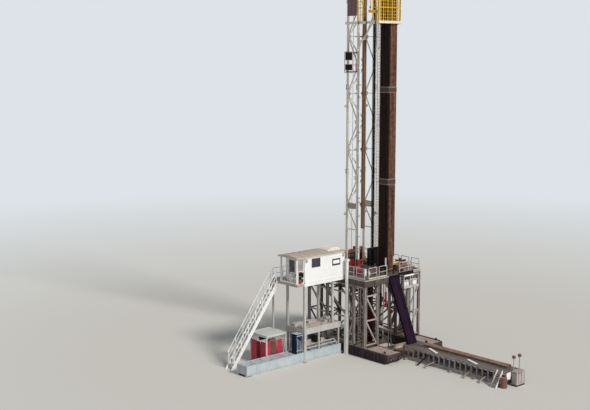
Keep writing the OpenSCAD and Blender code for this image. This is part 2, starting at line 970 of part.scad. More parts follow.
// The inner box's runners reach up to the base box
module inner_skid_box() {
    x0 = dog_x0 + post_s + gap;
    x1 = -floor_x - 180;
    skid_box(x0, x1 - x0, 4);
    color("lightsteelblue")
        for (y = [skid_y0 + 30, skid_y1 - 110])
            translate([x1 - cut, y, 0])
                cube([-floor_x - gap - x1 + cut, 80, 90]);
}

module outer_skid_box() {
    skid_box(dog_x0 - gap - outer_l, outer_l, 6);
}

// Accumulator: a rack of upright bottles with a panel, on the outer skid box
module accumulator_unit() {
    w = 360;
    d = 340;
    h = 950;
    base = 120;
    bottle_d = 100;
    bottle_n = 3;
    pitch = (w - 30) / bottle_n;
    x0 = dog_x0 - gap - 45 - w;
    y0 = skid_y0 + 90;
    z0 = skid_h - tray;
    color("midnightblue")
        translate([x0, y0, z0]) {
            cube([w, d, base]);
            for (i = [0:bottle_n - 1], j = [0, 1])
                translate([15 + (i + 0.5) * pitch, bottle_d / 2 + 20 + j * 120, base - cut])
                    cylinder(h = h - base - 120, d = bottle_d, $fn = 32);
            translate([0, d - 60, base - cut])
                cube([w, 60, h - base]);
            translate([0, 10, h - 130])
                cube([w, d - 10, 40]);
        }
}

// Power unit: two engine sets side by side on one skid
module power_unit() {
    top = power_skid_h;
    set_w = 400;
    radiator = 200;
    color("firebrick")
        translate([power_x0, power_y0, 0]) {
            difference() {
                cube([power_l, power_d, top]);
                for (y = [-cut, power_d - 25])
                    translate([80, y, 20])
                        cube([power_l - 160, 25 + cut, top - 40]);
            }
            for (y = [80, power_d - set_w - 80]) {
                translate([30, y, top - cut])
                    cube([radiator, set_w, 880]);
                translate([30 + radiator - cut, y + set_w / 2 - 150, top - cut])
                    cube([power_l - radiator - 120, 300, 110]);
                translate([30 + radiator - cut, y + set_w / 2 - 120, top + 100])
                    cube([440, 240, 420]);
                translate([30 + radiator + 430, y + set_w / 2 - 60, top + 300])
                    cube([60, 120, 120]);
                along_x(30 + radiator + 438, power_l - 60, y + set_w / 2, top + 260, 320);
                translate([30 + radiator + 90, y + set_w / 2 - 80, top + 510])
                    cube([260, 160, 130]);
            }
        }
}

// A small roof over the power unit, on four posts that stand on its skid
module power_unit_roof() {
    under = shelter_h - shelter_t;
    bow = 18;
    color("gray") {
        upright_yz(power_x0 + power_l / 2, power_l)
            polygon([[power_y0 + 1, under], [power_y0 + power_d, under],
                [power_y0 + power_d, shelter_h - bow], [power_y0 + power_d / 2, shelter_h],
                [power_y0 + 1, shelter_h - bow]]);
        for (x = [power_x0 + 5, power_x0 + power_l - shelter_post - 5],
             y = [power_y0 + 5, power_y0 + power_d - shelter_post - 5])
            translate([x, y, power_skid_h])
                cube([shelter_post, shelter_post, under - gap - power_skid_h]);
    }
}

// Service platform right of the ramp, below the floor: a railed walkway on a trestle
// that stands on the base box, hung from the floor beam at its other end
module service_platform() {
    length = 1080;
    depth = 320;
    past_ramp = 120;
    frame_h = 100;
    plate = 25;
    post = 60;
    hanger_w = 50;
    hanger_t = 12;
    top = floor_h - rail_h - 50;
    x0 = ramp_w / 2 + past_ramp;
    y1 = -floor_front - gap;
    y0 = y1 - depth;
    post_x = base_in + 140;
    under = top - frame_h - gap;
    cell = (length - post) / 3;
    pane_w = (length - rail_space) / 2;
    color("silver") {
        difference() {
            translate([x0, y0, top - frame_h])
                cube([length, depth, frame_h]);
            for (i = [0:2])
                translate([x0 + post + i * cell, y0 + post, top - frame_h - cut])
                    cube([cell - post, depth - 2 * post, frame_h - plate + cut]);
        }
        upright_xz(y0 + rail_d / 2, rail_d)
            for (i = [0, 1])
                translate([x0 + i * (pane_w + rail_space), top - cut])
                    pane_frame(pane_w, rail_h + cut, 1, 2, rail_d, rail_d);
        for (x = [x0, x0 + length - rail_d])
            upright_yz(x + rail_d / 2, rail_d)
                translate([y0 + 2 * rail_d, top - cut])
                    pane_frame(depth - 3 * rail_d, rail_h + cut, 1, 2, rail_d, rail_d);
        translate([x0 + post, y1 - hanger_t, top - frame_h])
            cube([hanger_w, hanger_t, floor_under - top + frame_h + floor_beam_h / 2]);
        upright_yz(post_x + post / 2, post) {
            for (y = [y0, y1 - post])
                translate([y, base_h])
                    square([post, under - base_h]);
            for (z = [base_h + (under - base_h) / 2, under - post])
                translate([y0 + cut, z])
                    square([depth - 2 * cut, post]);
        }
    }
}

// V-door ramp: a plate between two side plates, ribs below, a roller at its head
module v_door_ramp() {
    y1 = ramp_top_y;
    y0 = -walk_start - ramp_foot;
    head_drop = 60;
    tip = 20;
    z1 = floor_h - head_drop;
    z0 = walk_h + tip;
    seat_z = walk_h + gap;
    side_t = 24;
    up = 60;
    ribs = 6;
    rib_t = 40;
    rib_h = 120;
    rib_drop = 2 * ramp_plate + 90;
    roller_r = 45;
    slope = (z1 - z0) / (y1 - y0);
    // Where a line up the ramp, at height z above the foot's tip, meets the deck
    function foot(z) = [y0 + (seat_z - z) / slope, seat_z];
    color("indigo") {
        upright_yz(0, ramp_w)
            polygon([[y1, z1], [y1, z1 - 2 * ramp_plate], foot(z0 - 2 * ramp_plate),
                [y0, seat_z], [y0, z0]]);
        for (s = [-1, 1])
            upright_yz(s * (ramp_w - side_t) / 2, side_t)
                polygon([[y1, z1 + up], [y1, z1 + up - 2 * ramp_side], foot(z0 + up - 2 * ramp_side),
                    [y0, seat_z], [y0, z0 + up]]);
        for (i = [0:ribs - 1]) {
            y = y0 + (i + 0.5) * (y1 - y0) / ribs;
            translate([-ramp_w / 2, y, z0 + (y - y0) * slope - rib_drop])
                cube([ramp_w, rib_t, rib_h]);
        }
        along_x(-ramp_w / 2, ramp_w / 2, y1 - roller_r - gap, floor_h - roller_r, 2 * roller_r);
    }
}

// Catwalk frame: two ribbed side frames and the sleepers that pass under them
module catwalk_frame() {
    n = round(walk_l / 320);
    rib = 70;
    side_t = 60;
    low = 170;
    high = 80;
    sleeper_w = 110;
    sleeper_h = 90;
    sleeper_out = 200;
    sleepers = 5;
    step = (walk_l - rib) / n;
    frame_h = walk_h - walk_deck_t;
    spread = (walk_l - 600) / (sleepers - 1);
    color("gray") {
        for (s = [-1, 1])
            upright_yz(s * (walk_x - side_t / 2), side_t)
                difference() {
                    translate([walk_y0, 0])
                        square([walk_l, frame_h]);
                    for (i = [0:n - 1])
                        translate([walk_y0 + rib + i * step, low])
                            square([step - rib, frame_h - low - high]);
                    for (i = [0:sleepers - 1])
                        translate([walk_y0 + 300 + i * spread - sleeper_w / 2 - gap, -cut])
                            square([sleeper_w + 2 * gap, sleeper_h + gap + cut]);
                }
        for (i = [0:sleepers - 1])
            translate([-walk_x - sleeper_out, walk_y0 + 300 + i * spread - sleeper_w / 2, 0])
                cube([walk_w + 2 * sleeper_out, sleeper_w, sleeper_h]);
    }
}

// Catwalk deck with the shallow V along its middle that guides the pipe
module catwalk_deck() {
    v_w = 90;
    v_h = 55;
    t = walk_deck_t;
    color("dimgray")
        translate([0, walk_y0 + walk_l, walk_h])
            rotate([90, 0, 0])
                linear_extrude(walk_l)
                    polygon([[-walk_x, 0], [-v_w, 0], [0, -v_h], [v_w, 0], [walk_x, 0],
                        [walk_x, -t], [v_w, -t], [0, -v_h - t], [-v_w, -t], [-walk_x, -t]]);
}

// Casing pipes on the far half of the catwalk, and a drum beside its near end
module catwalk_pipes() {
    pitch = casing_d + 4;
    first_x = 100;
    drum_r = 150;
    n = floor((walk_x - first_x) / pitch);
    wall = 10;
    far_end = 400;
    bare_end = 800;
    pipe_l = walk_l - far_end - bare_end;
    color("saddlebrown") {
        for (i = [0:n - 1])
            translate([first_x + (i + 0.5) * pitch, walk_y0 + far_end, walk_h + casing_d / 2])
                rotate([-90, 0, 0])
                    difference() {
                        cylinder(h = pipe_l, d = casing_d, $fn = 48);
                        translate([0, 0, -cut])
                            cylinder(h = pipe_l + 2 * cut, d = casing_d - 2 * wall, $fn = 48);
                    }
        translate([-walk_x - drum_r - gap, walk_y0, 0])
            rotate_extrude($fn = 64)
                polygon([[0, 0], [drum_r, 0], [drum_r, 440], [drum_r - 10, 450], [drum_r - 16, 450],
                    [drum_r - 16, 438], [0, 438]]);
    }
}

// A leaning ladder from the ground to the catwalk deck
module catwalk_ladder() {
    w = 300;
    lean = 480;
    string_w = 50;
    side_t = 30;
    rungs = 4;
    x1 = -walk_x - gap;
    x0 = x1 - lean;
    y = walk_y0 + 170;
    step_x = lean / (rungs + 1);
    step_z = walk_h / (rungs + 1);
    color("silver") {
        for (s = [0, 1])
            upright_xz(y + side_t / 2 + s * (w - side_t), side_t)
                polygon([[x0, 0], [x0 + string_w * 1.4, 0], [x1, walk_h - string_w],
                    [x1, walk_h + string_w], [x1 - string_w / 2, walk_h + string_w]]);
        for (i = [1:rungs])
            translate([x0 + string_w / 3 + i * step_x, y + side_t - cut, i * step_z - 10])
                cube([30, w - 2 * side_t + 2 * cut, 20]);
    }
}

// Control unit at the far end of the catwalk, with two lamp stalks
module catwalk_end_unit() {
    x0 = -100;
    x1 = walk_x;
    y1 = walk_y0 - gap;
    y0 = y1 - 300;
    base = 90;
    h = walk_h;
    stalk_h = 1300;
    stalk_d = 36;
    color("silver") {
        translate([x0, y0, 0])
            cube([x1 - x0, y1 - y0, base]);
        upright_yz((x0 + x1) / 2, x1 - x0 - 40)
            polygon([[y0 + 20, base - cut], [y1 - 10, base - cut], [y1 - 10, h], [y0 + 120, h],
                [y0 + 20, h - 110]]);
        for (x = [x0 + 80, x1 - 80]) {
            translate([x, y1 - 60, h - cut])
                cylinder(h = stalk_h - h - 60, d = stalk_d, $fn = 24);
            translate([x - 45, y1 - 105, stalk_h - 70])
                cube([90, 90, 70]);
        }
    }
}

// One flat side of the mast: both legs with their shoes, splices, horizontals
// and zigzag, and the gusset plates where the braces meet the legs
module mast_side(s) {
    x = s * leg_x;
    shoe_h = 60;
    shoe_w = 40;
    girt = 30;
    plate = 16;
    frame_h = 290;
    gusset = 190;
    splice_h = 260;
    splice_at = [1, 4, 7, 10, 13];
    in_x = x - s * leg_s / 2;
    color("ivory") {
        for (y = [leg_y0, leg_y1]) {
            translate([x - leg_s / 2, y - leg_s / 2, floor_h])
                cube([leg_s, leg_s, mast_top - floor_h]);
            translate([x - leg_s / 2 - shoe_w, y - leg_s / 2 - shoe_w, floor_h])
                cube([leg_s + 2 * shoe_w, leg_s + 2 * shoe_w, shoe_h]);
            for (i = splice_at)
                if (i < mast_bays)
                    translate([min(in_x, in_x + s * (leg_s + splice_lip)), y - leg_s / 2 - splice_lip,
                            node_z[i] + gusset])
                        cube([leg_s + splice_lip, leg_s + 2 * splice_lip, splice_h]);
        }
        upright_yz(x, brace_s) {
            for (z = [portal_z, mast_top - leg_s / 2])
                strip([leg_y0, z], [leg_y1, z], brace_s);
            strip([leg_y0, portal_z], [leg_y1, node_z[0]], brace_s);
            for (i = [0:mast_bays - 1]) {
                a = i % 2 == 0 ? leg_y1 : leg_y0;
                strip([a, node_z[i]], [leg_y0 + leg_y1 - a, node_z[i + 1]], brace_s);
            }
            for (i = [2:2:mast_bays - 1])
                strip([leg_y0, node_z[i]], [leg_y1, node_z[i]], girt);
        }
        upright_yz(x, plate) {
            polygon([[leg_y0, node_z[0] - frame_h / 4], [leg_y1, node_z[0] - frame_h / 2],
                [leg_y1, node_z[0] + frame_h / 2], [leg_y0, node_z[0] + frame_h / 4]]);
            for (i = [1:mast_bays - 1]) {
                a = i % 2 == 0 ? leg_y1 : leg_y0;
                d = i % 2 == 0 ? -1 : 1;
                polygon([[a, node_z[i] - gusset], [a + d * gusset, node_z[i] - gusset / 3],
                    [a + d * gusset, node_z[i] + gusset / 3], [a, node_z[i] + gusset]]);
            }
        }
    }
}

module mast_left_side() {
    mast_side(-1);
}

module mast_right_side() {
    mast_side(1);
}

// The braced back of the mast, between the back legs
module mast_back() {
    x1 = leg_x - leg_s / 2 - gap;
    z0 = node_z[0] - brace_s;
    plate = 16;
    gusset = 170;
    color("ivory") {
        upright_xz(leg_y1, brace_s)
            intersection() {
                union() {
                    for (z = node_z)
                        strip([-x1, z], [x1, z], brace_s);
                    for (i = [0:mast_bays - 1]) {
                        a = i % 2 == 0 ? -x1 : x1;
                        strip([a, node_z[i]], [-a, node_z[i + 1]], brace_s);
                    }
                }
                translate([-x1, z0])
                    square([2 * x1, mast_top - z0]);
            }
        upright_xz(leg_y1, plate)
            for (i = [1:mast_bays - 1]) {
                s = i % 2 == 0 ? -1 : 1;
                polygon([[s * x1, node_z[i] - gusset], [s * (x1 - gusset), node_z[i]],
                    [s * x1, node_z[i] + gusset]]);
            }
    }
}

// Racking board frame: front beam, two side beams, and the knee braces below
module racking_board() {
    brace = 40;
    knee_h = 1300;
    knee_y = rack_y0 + (rack_y1 - rack_y0) / 2;
    lug = board_x - board_beam - leg_x - leg_s / 2 - gap;
    side_y0 = board_y0 + board_beam + gap;
    under = board_z - board_t - gap;
    leg_face = leg_x + leg_s / 2 + gap;
    foot_y = leg_y0 - leg_s / 2 + 10;
    foot_x = board_x - (board_beam - brace) / 2;
    color("gainsboro") {
        translate([-board_x, board_y0, board_z - board_t])
            cube([2 * board_x, board_beam, board_t]);
        translate([-board_x, side_y0, board_z - board_t])
            cube([board_beam, leg_y1 + leg_s / 2 - side_y0, board_t]);
        for (y = [leg_y0 - 30, leg_y1 - 30])
            translate([-board_x + board_beam - cut, y, board_z - board_t])
                cube([lug + cut, 60, board_t]);
        translate([board_x - board_beam, side_y0, board_z - board_t])
            cube([board_beam, board_y1 - side_y0, board_t]);
        for (s = [-1, 1]) {
            upright_yz(s * (board_x - board_beam / 2), brace)
                intersection() {
                    strip([foot_y + brace, under - knee_h], [knee_y - brace, under + brace], brace);
                    translate([board_y0, under - 2 * knee_h])
                        square([foot_y - board_y0, 2 * knee_h]);
                }
            translate([s > 0 ? leg_face : -foot_x, foot_y - brace, under - knee_h - 20])
                cube([foot_x - leg_face, brace, 90]);
        }
    }
}

// One bar between each two rows of pipe, on both sides of the diving board
module racking_fingers() {
    x0 = rack_x0 - 10;
    x1 = rack_x1 - gap;
    color("gainsboro")
        for (s = [-1, 1], j = [0:rack_ny])
            translate([s > 0 ? x0 : -x1, rack_y0 + j * pipe_pitch - finger_w / 2, board_z - board_t])
                cube([x1 - x0, finger_w, board_t]);
}

module diving_board() {
    y0 = board_y0 + board_beam + gap;
    board = 40;
    color("gainsboro")
        translate([-dive_w / 2, y0, board_z - board_t])
            cube([dive_w, rack_y1 - y0, board]);
}

// Fence panels round the racking board: front, right side, and two on the left
module board_fence() {
    bar = 30;
    y0 = board_y0 + fence_t + gap;
    split = board_y0 + 430;
    back = 370;
    color("gold")
        translate([0, 0, board_z + gap]) {
            upright_xz(board_y0 + fence_t / 2, fence_t)
                translate([-board_x, 0])
                    pane_frame(2 * board_x, fence_h, 5, 2, fence_t, bar);
            upright_yz(board_x - fence_t / 2, fence_t)
                translate([y0, 0])
                    pane_frame(board_y1 - y0, fence_h, 4, 2, fence_t, bar);
            upright_yz(-board_x + fence_t / 2, fence_t) {
                translate([y0, 0])
                    pane_frame(split - y0, fence_h, 1, 2, fence_t, bar);
                translate([board_y1 - back, 0])
                    pane_frame(back, fence_h, 1, 2, fence_t, bar);
            }
        }
}

// Racked drill pipe in stands of three lengths, with a thicker joint at each end
module drill_pipe() {
    r = pipe_d / 2;
    joint_r = min(r + 10, pipe_pitch / 2 - 1);
    joint = 120;
    taper = 24;
    third = stand_l / 3;
    // Radius and height along one stand, from the pin up to the box
    outline = concat([[0, 0], [joint_r - 12, 0], [joint_r, 14], [joint_r, joint], [r, joint + taper]],
        [for (k = [1, 2]) each [[r, k * third - joint - taper], [joint_r, k * third - joint],
            [joint_r, k * third + joint], [r, k * third + joint + taper]]],
        [[r, stand_l - joint - taper], [joint_r, stand_l - joint], [joint_r, stand_l], [0, stand_l]]);
    color("saddlebrown")
        for (i = [0:rack_nx - 1], j = [0:rack_ny - 1])
            translate([rack_x0 + (i + 0.5) * pipe_pitch, rack_y0 + (j + 0.5) * pipe_pitch, floor_h + mat_t])
                rotate_extrude($fn = 24)
                    polygon(outline);
}

// Standpipe up the left front leg, with a gooseneck and clamps to the leg
module standpipe() {
    d = 90;
    z0 = floor_h + 400;
    z1 = board_z - 900;
    neck = 260;
    clamps = 5;
    clamp_h = 80;
    y = leg_y0 - leg_s / 2 - splice_lip - 12 - d / 2;
    clear = 1300;
    step = (z1 - z0 - 2 * clear) / (clamps - 1);
    color("white") {
        translate([-leg_x, y, z0])
            cylinder(h = z1 - z0, d = d, $fn = 32);
        rod([-leg_x, y, z0], [-leg_x - neck, y, z0 - 300], d * 0.9);
        translate([-leg_x, y, z0])
            sphere(d = d, $fn = 32);
        rod([-leg_x, y, z1], [-leg_x + neck * 0.7, y - neck * 0.7, z1 + neck * 0.5], d * 0.9);
        translate([-leg_x, y, z1])
            sphere(d = d, $fn = 32);
        for (i = [0:clamps - 1])
            translate([-leg_x - d / 2 - 12, y, z0 + clear + i * step])
                cube([d + 24, leg_y0 - leg_s / 2 - gap - y, clamp_h]);
    }
}

// Guide rail of the top drive: a tube held off the mast's braced back
module guide_rail() {
    z1 = node_z[mast_bays] - 300;
    y0 = guide_y0 + guide_d;
    y1 = leg_y1 - brace_s / 2 - gap;
    arm = 60;
    color("sienna") {
        translate([-guide_w / 2, guide_y0, portal_z])
            cube([guide_w, guide_d, z1 - portal_z]);
        for (i = [0:2:mast_bays - 1])
            for (s = [-1, 1])
                translate([s * (guide_w - arm) / 2 - arm / 2, y0 - cut, node_z[i] - arm / 2])
                    cube([arm, y1 - y0 + cut, arm]);
    }
}

// Ladder beside the right front leg, from the floor up to the crown
module mast_ladder() {
    w = 200;
    rail = 24;
    rung = 24;
    off = 75;
    x0 = leg_x + leg_s / 2 + off;
    y = leg_y0 - leg_s / 2 + rail;
    color("gainsboro") {
        upright_xz(y, rail)
            translate([x0, floor_h])
                ladder_drawing(w, mast_top + crown_h - floor_h, rail, rung, 150);
        for (i = [0:3:mast_bays - 1])
            translate([leg_x + leg_s / 2 + gap, y - rail / 2, node_z[i] - 20])
                cube([off - gap + cut, rail, 40]);
    }
}

// A bearing pair with its axle along X: rounded blocks that stand on the crown
module crown_bearing(y, half) {
    foot = 300;
    top_r = 100;
    foot_t = 40;
    z = crown_z + gap;
    for (s = [-1, 1])
        upright_yz(s * half, cheek_t) {
            polygon([[y - foot / 2, z], [y + foot / 2, z], [y + foot / 2, z + foot_t],
                [y + top_r, axle_z], [y - top_r, axle_z], [y - foot / 2, z + foot_t]]);
            translate([y, axle_z])
                circle(top_r, $fn = 48);
        }
    along_x(-half - cheek_t, half + cheek_t, y, axle_z, axle_d);
}

// Crown: an open frame of beams on the legs, bearings, and a railing round it
module crown_block() {
    half_w = leg_x + 100;
    beam = 100;
    well = cheek_x - cheek_t / 2;
    side_in = well + 120;
    side_out = half_w - beam;
    toe_in = 20;
    color("ivory") {
        translate([0, 0, mast_top])
            linear_extrude(crown_h)
                difference() {
                    translate([-half_w, crown_y0])
                        square([2 * half_w, crown_y1 - crown_y0]);
                    translate([-well, crown_y0 + beam])
                        square([2 * well, crown_y1 - crown_y0 - 2 * beam]);
                    for (s = [-1, 1], ys = [[crown_y0 + beam, leg_y0 - 60], [leg_y0 + 60, leg_y1 - 60],
                            [leg_y1 + 60, crown_y1 - beam]])
                        translate([s > 0 ? side_in : -side_out, ys[0]])
                            square([side_out - side_in, ys[1] - ys[0]]);
                }
        crown_bearing(0, cheek_x);
        crown_bearing(fast_y, cheek_x);
        for (y = [crown_y0 + rail_d, crown_y1 - rail_d])
            translate([0, y, crown_z + gap])
                rail_run(-half_w + 2 * toe_in, half_w - 2 * toe_in);
        for (x = [-half_w + rail_d / 2, half_w - rail_d / 2])
            translate([x, 0, crown_z + gap])
                rotate([0, 0, 90])
                    rail_run(crown_y0 + 3 * toe_in, crown_y1 - 3 * toe_in);
    }
}

// A grooved sheave that runs on an axle along X, with a thin web
module sheave(x, y, z) {
    t = sheave_t / 2;
    bore = axle_d / 2 + gap;
    hub = axle_d / 2 + 45;
    rim = groove_r - 30;
    web = 12;
    lip = 8;
    root = line_d / 2;
    translate([x, y, z])
        rotate([0, 90, 0])
            rotate_extrude($fn = 96)
                polygon([[bore, -t], [hub, -t], [hub, -web], [rim, -web], [rim, -t], [sheave_d / 2, -t],
                    [sheave_d / 2, lip - t], [groove_r, -root], [groove_r, root], [sheave_d / 2, t - lip],
                    [sheave_d / 2, t], [rim, t], [rim, web], [hub, web], [hub, t], [bore, t]]);
}

// The cluster over the well, and the fast sheave behind it
module crown_sheaves() {
    color("dimgray") {
        for (i = [0:sheave_n - 1])
            sheave((i - (sheave_n - 1) / 2) * sheave_pitch, 0, axle_z);
        sheave(0, fast_y, axle_z);
    }
}

// Travelling block with the top drive below it, and the pipe handling links
module travelling_block() {
    half = sheave_n * sheave_pitch / 2 + 30;
    plate = 50;
    plate_r = 250;
    foot_w = 260;
    foot_h = 60;
    foot_drop = 360;
    stem_d = 150;
    drive_w = 520;
    drive_d = 460;
    drive_h = 1300;
    hook_h = 500;
    hook_drop = 330;
    drive_top = block_z - hook_drop - hook_h;
    drive_bottom = drive_top - drive_h;
    quill_h = 420;
    link_h = 1300;
    link_x = 190;
    color("gold") {
        for (s = [-1, 1])
            upright_yz(s * half, plate)
                hull() {
                    translate([0, block_z])
                        circle(plate_r, $fn = 64);
                    translate([-foot_w / 2, block_z - foot_drop])
                        square([foot_w, foot_h]);
                }
        along_x(-half, half, 0, block_z, 2 * groove_r);
        translate([-half, -foot_w / 2, block_z - foot_drop - foot_h])
            cube([2 * half, foot_w, foot_w / 2]);
        translate([0, 0, drive_top - cut])
            cylinder(h = hook_h, d = stem_d, $fn = 48);
    }
    color("steelblue") {
        translate([-drive_w / 2, -drive_d / 2, drive_bottom])
            cube([drive_w, drive_d, drive_h * 0.55]);
        translate([-drive_w / 2 - 60, -drive_d / 2 + 40, drive_bottom + drive_h * 0.55 - cut])
            cube([drive_w + 120, drive_d - 80, drive_h * 0.1]);
        for (s = [-1, 1])
            translate([s * (drive_w / 2 - 110), 0, drive_bottom + drive_h * 0.6])
                cylinder(h = drive_h * 0.35, d = 250, $fn = 48);
        translate([-60, -60, drive_bottom + drive_h * 0.6])
            cube([120, 120, drive_h * 0.4]);
        for (z = [drive_bottom + 100, drive_bottom + drive_h * 0.5])
            translate([-guide_w / 2 - 60, drive_d / 2 - cut, z])
                cube([guide_w + 120, guide_y0 - gap - drive_d / 2 + cut, 90]);
    }
    color("gray") {
        translate([0, 0, drive_bottom - quill_h])
            cylinder(h = quill_h + cut, d = 160, $fn = 48);
        translate([-link_x - 60, -90, drive_bottom - quill_h * 0.6])
            cube([2 * link_x + 120, 180, 110]);
        for (s = [-1, 1])
            translate([s * link_x, 0, drive_bottom - quill_h * 0.5 - link_h])
                cylinder(h = link_h, d = 50, $fn = 24);
        translate([-link_x - 45, -80, drive_bottom - quill_h * 0.5 - link_h - 110])
            cube([2 * link_x + 90, 160, 130]);
    }
}

// The lines between the block and the crown, and the fast line up from the drum
module drilling_lines() {
    drum_y = draw_y - drum_d / 2 - line_d / 2 - gap;
    color("gray") {
        for (i = [0:sheave_n - 1], s = [-1, 1])
            translate([(i - (sheave_n - 1) / 2) * sheave_pitch, s * line_y, block_z])
                cylinder(h = axle_z - block_z, d = line_d, $fn = 16);
        rod([0, drum_y, drum_z], [0, fast_y + line_y, axle_z], line_d);
    }
}

base_box_left();
base_box_right();
base_spreaders();
left_outer_truss();
left_inner_truss();
left_cross_frames();
right_outer_truss();
right_inner_truss();
right_cross_frames();
floor_beams();
floor_deck();
rotary_table();
front_floor_rail();
left_floor_rail();
right_floor_rail();
back_floor_rail();
drawworks();
wind_wall();
blowout_preventer();
light_post();
doghouse_skid();
doghouse_front_wall();
doghouse_back_wall();
doghouse_left_wall();
doghouse_right_wall();
doghouse_roof();
doghouse_posts();
landing();
landing_rail();
stair_stringers();
stair_treads();
stair_rails();
mid_platform();
inner_skid_box();
outer_skid_box();
accumulator_unit();
power_unit();
power_unit_roof();
service_platform();
v_door_ramp();
catwalk_frame();
catwalk_deck();
catwalk_pipes();
catwalk_ladder();
catwalk_end_unit();
mast_left_side();
mast_right_side();
mast_back();
racking_board();
racking_fingers();
diving_board();
board_fence();
drill_pipe();
standpipe();
guide_rail();
mast_ladder();
crown_block();
crown_sheaves();
travelling_block();
drilling_lines();
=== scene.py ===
# %% [markdown]
# An oil drilling rig, at half its real size.
# The solids come from the CAD model and stay as they are. This lesson gives them their
# paint, rust and grime, and adds what is too small for the solids: bolts, plates, mesh,
# doors, lamps, pipework and the gear that lies about on a working rig.

# %% Load the frame
import json
import math
import bmesh
import bpy
from mathutils import Matrix, Vector


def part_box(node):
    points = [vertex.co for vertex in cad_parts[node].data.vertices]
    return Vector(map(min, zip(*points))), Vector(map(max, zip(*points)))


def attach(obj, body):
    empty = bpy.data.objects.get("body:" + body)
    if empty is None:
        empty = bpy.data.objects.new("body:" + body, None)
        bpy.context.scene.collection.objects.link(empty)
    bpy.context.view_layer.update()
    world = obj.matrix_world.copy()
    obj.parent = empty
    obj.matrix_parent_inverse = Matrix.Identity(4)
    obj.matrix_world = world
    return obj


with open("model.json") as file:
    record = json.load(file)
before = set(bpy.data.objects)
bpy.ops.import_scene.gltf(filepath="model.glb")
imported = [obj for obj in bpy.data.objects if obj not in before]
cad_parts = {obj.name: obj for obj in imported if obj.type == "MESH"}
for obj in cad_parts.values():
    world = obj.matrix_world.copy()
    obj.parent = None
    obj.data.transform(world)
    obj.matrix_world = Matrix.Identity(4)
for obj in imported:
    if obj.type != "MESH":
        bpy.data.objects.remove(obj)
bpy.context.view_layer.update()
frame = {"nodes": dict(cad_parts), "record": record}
NODES = frame["nodes"]
print("nodes:", len(NODES))

# %% [markdown]
# The camera stands a little higher than the drill floor, left of the V-door, and looks
# slightly down. A longish lens keeps the mast's legs nearly parallel, as they are in the
# photograph, and the picture cuts the mast off above the racking board.

# %% Camera
scene = bpy.context.scene
scene.view_settings.view_transform = "Standard"
eye = bpy.data.cameras.new("photo_view")
eye.sensor_width = 36.0
eye.sensor_fit = "HORIZONTAL"
eye.lens = 64.068
eye.clip_end = 900.0
camera = bpy.data.objects.new("photo_view", eye)
camera.location = (-36.804, -35.529, 14.250)
camera.rotation_euler = Vector((0.66031, 0.73791, -0.13957)).to_track_quat("-Z", "Y").to_euler()
scene.collection.objects.link(camera)
scene.camera = camera

# %% [markdown]
# Two small tools for materials. Colours are written as sRGB hex, as on a paint chart, and
# one function turns them into the linear values that the shader works in. The other adds
# a node with its settings and its links, so that each material reads as a short recipe.

# %% Colour and node tools
def linear(code, alpha=1.0):
    """An sRGB hex colour as linear RGBA."""
    out = []
    for i in (1, 3, 5):
        c = int(code[i:i + 2], 16) / 255
        out.append(c / 12.92 if c <= 0.04045 else ((c + 0.055) / 1.055) ** 2.4)
    return (*out, alpha)


def add(tree, kind, inputs=None, **settings):
    """Adds a node with its settings. An input is a value, or another node's output."""
    node = tree.nodes.new("ShaderNode" + kind)
    for key, value in settings.items():
        setattr(node, key, value)
    for key, value in (inputs or {}).items():
        if isinstance(value, bpy.types.NodeSocket):
            tree.links.new(value, node.inputs[key])
        else:
            node.inputs[key].default_value = value
    return node


def new_material(name):
    """A material with an empty tree and its output."""
    material = bpy.data.materials.new(name)
    material.use_nodes = True
    material.node_tree.nodes.clear()
    return material, material.node_tree
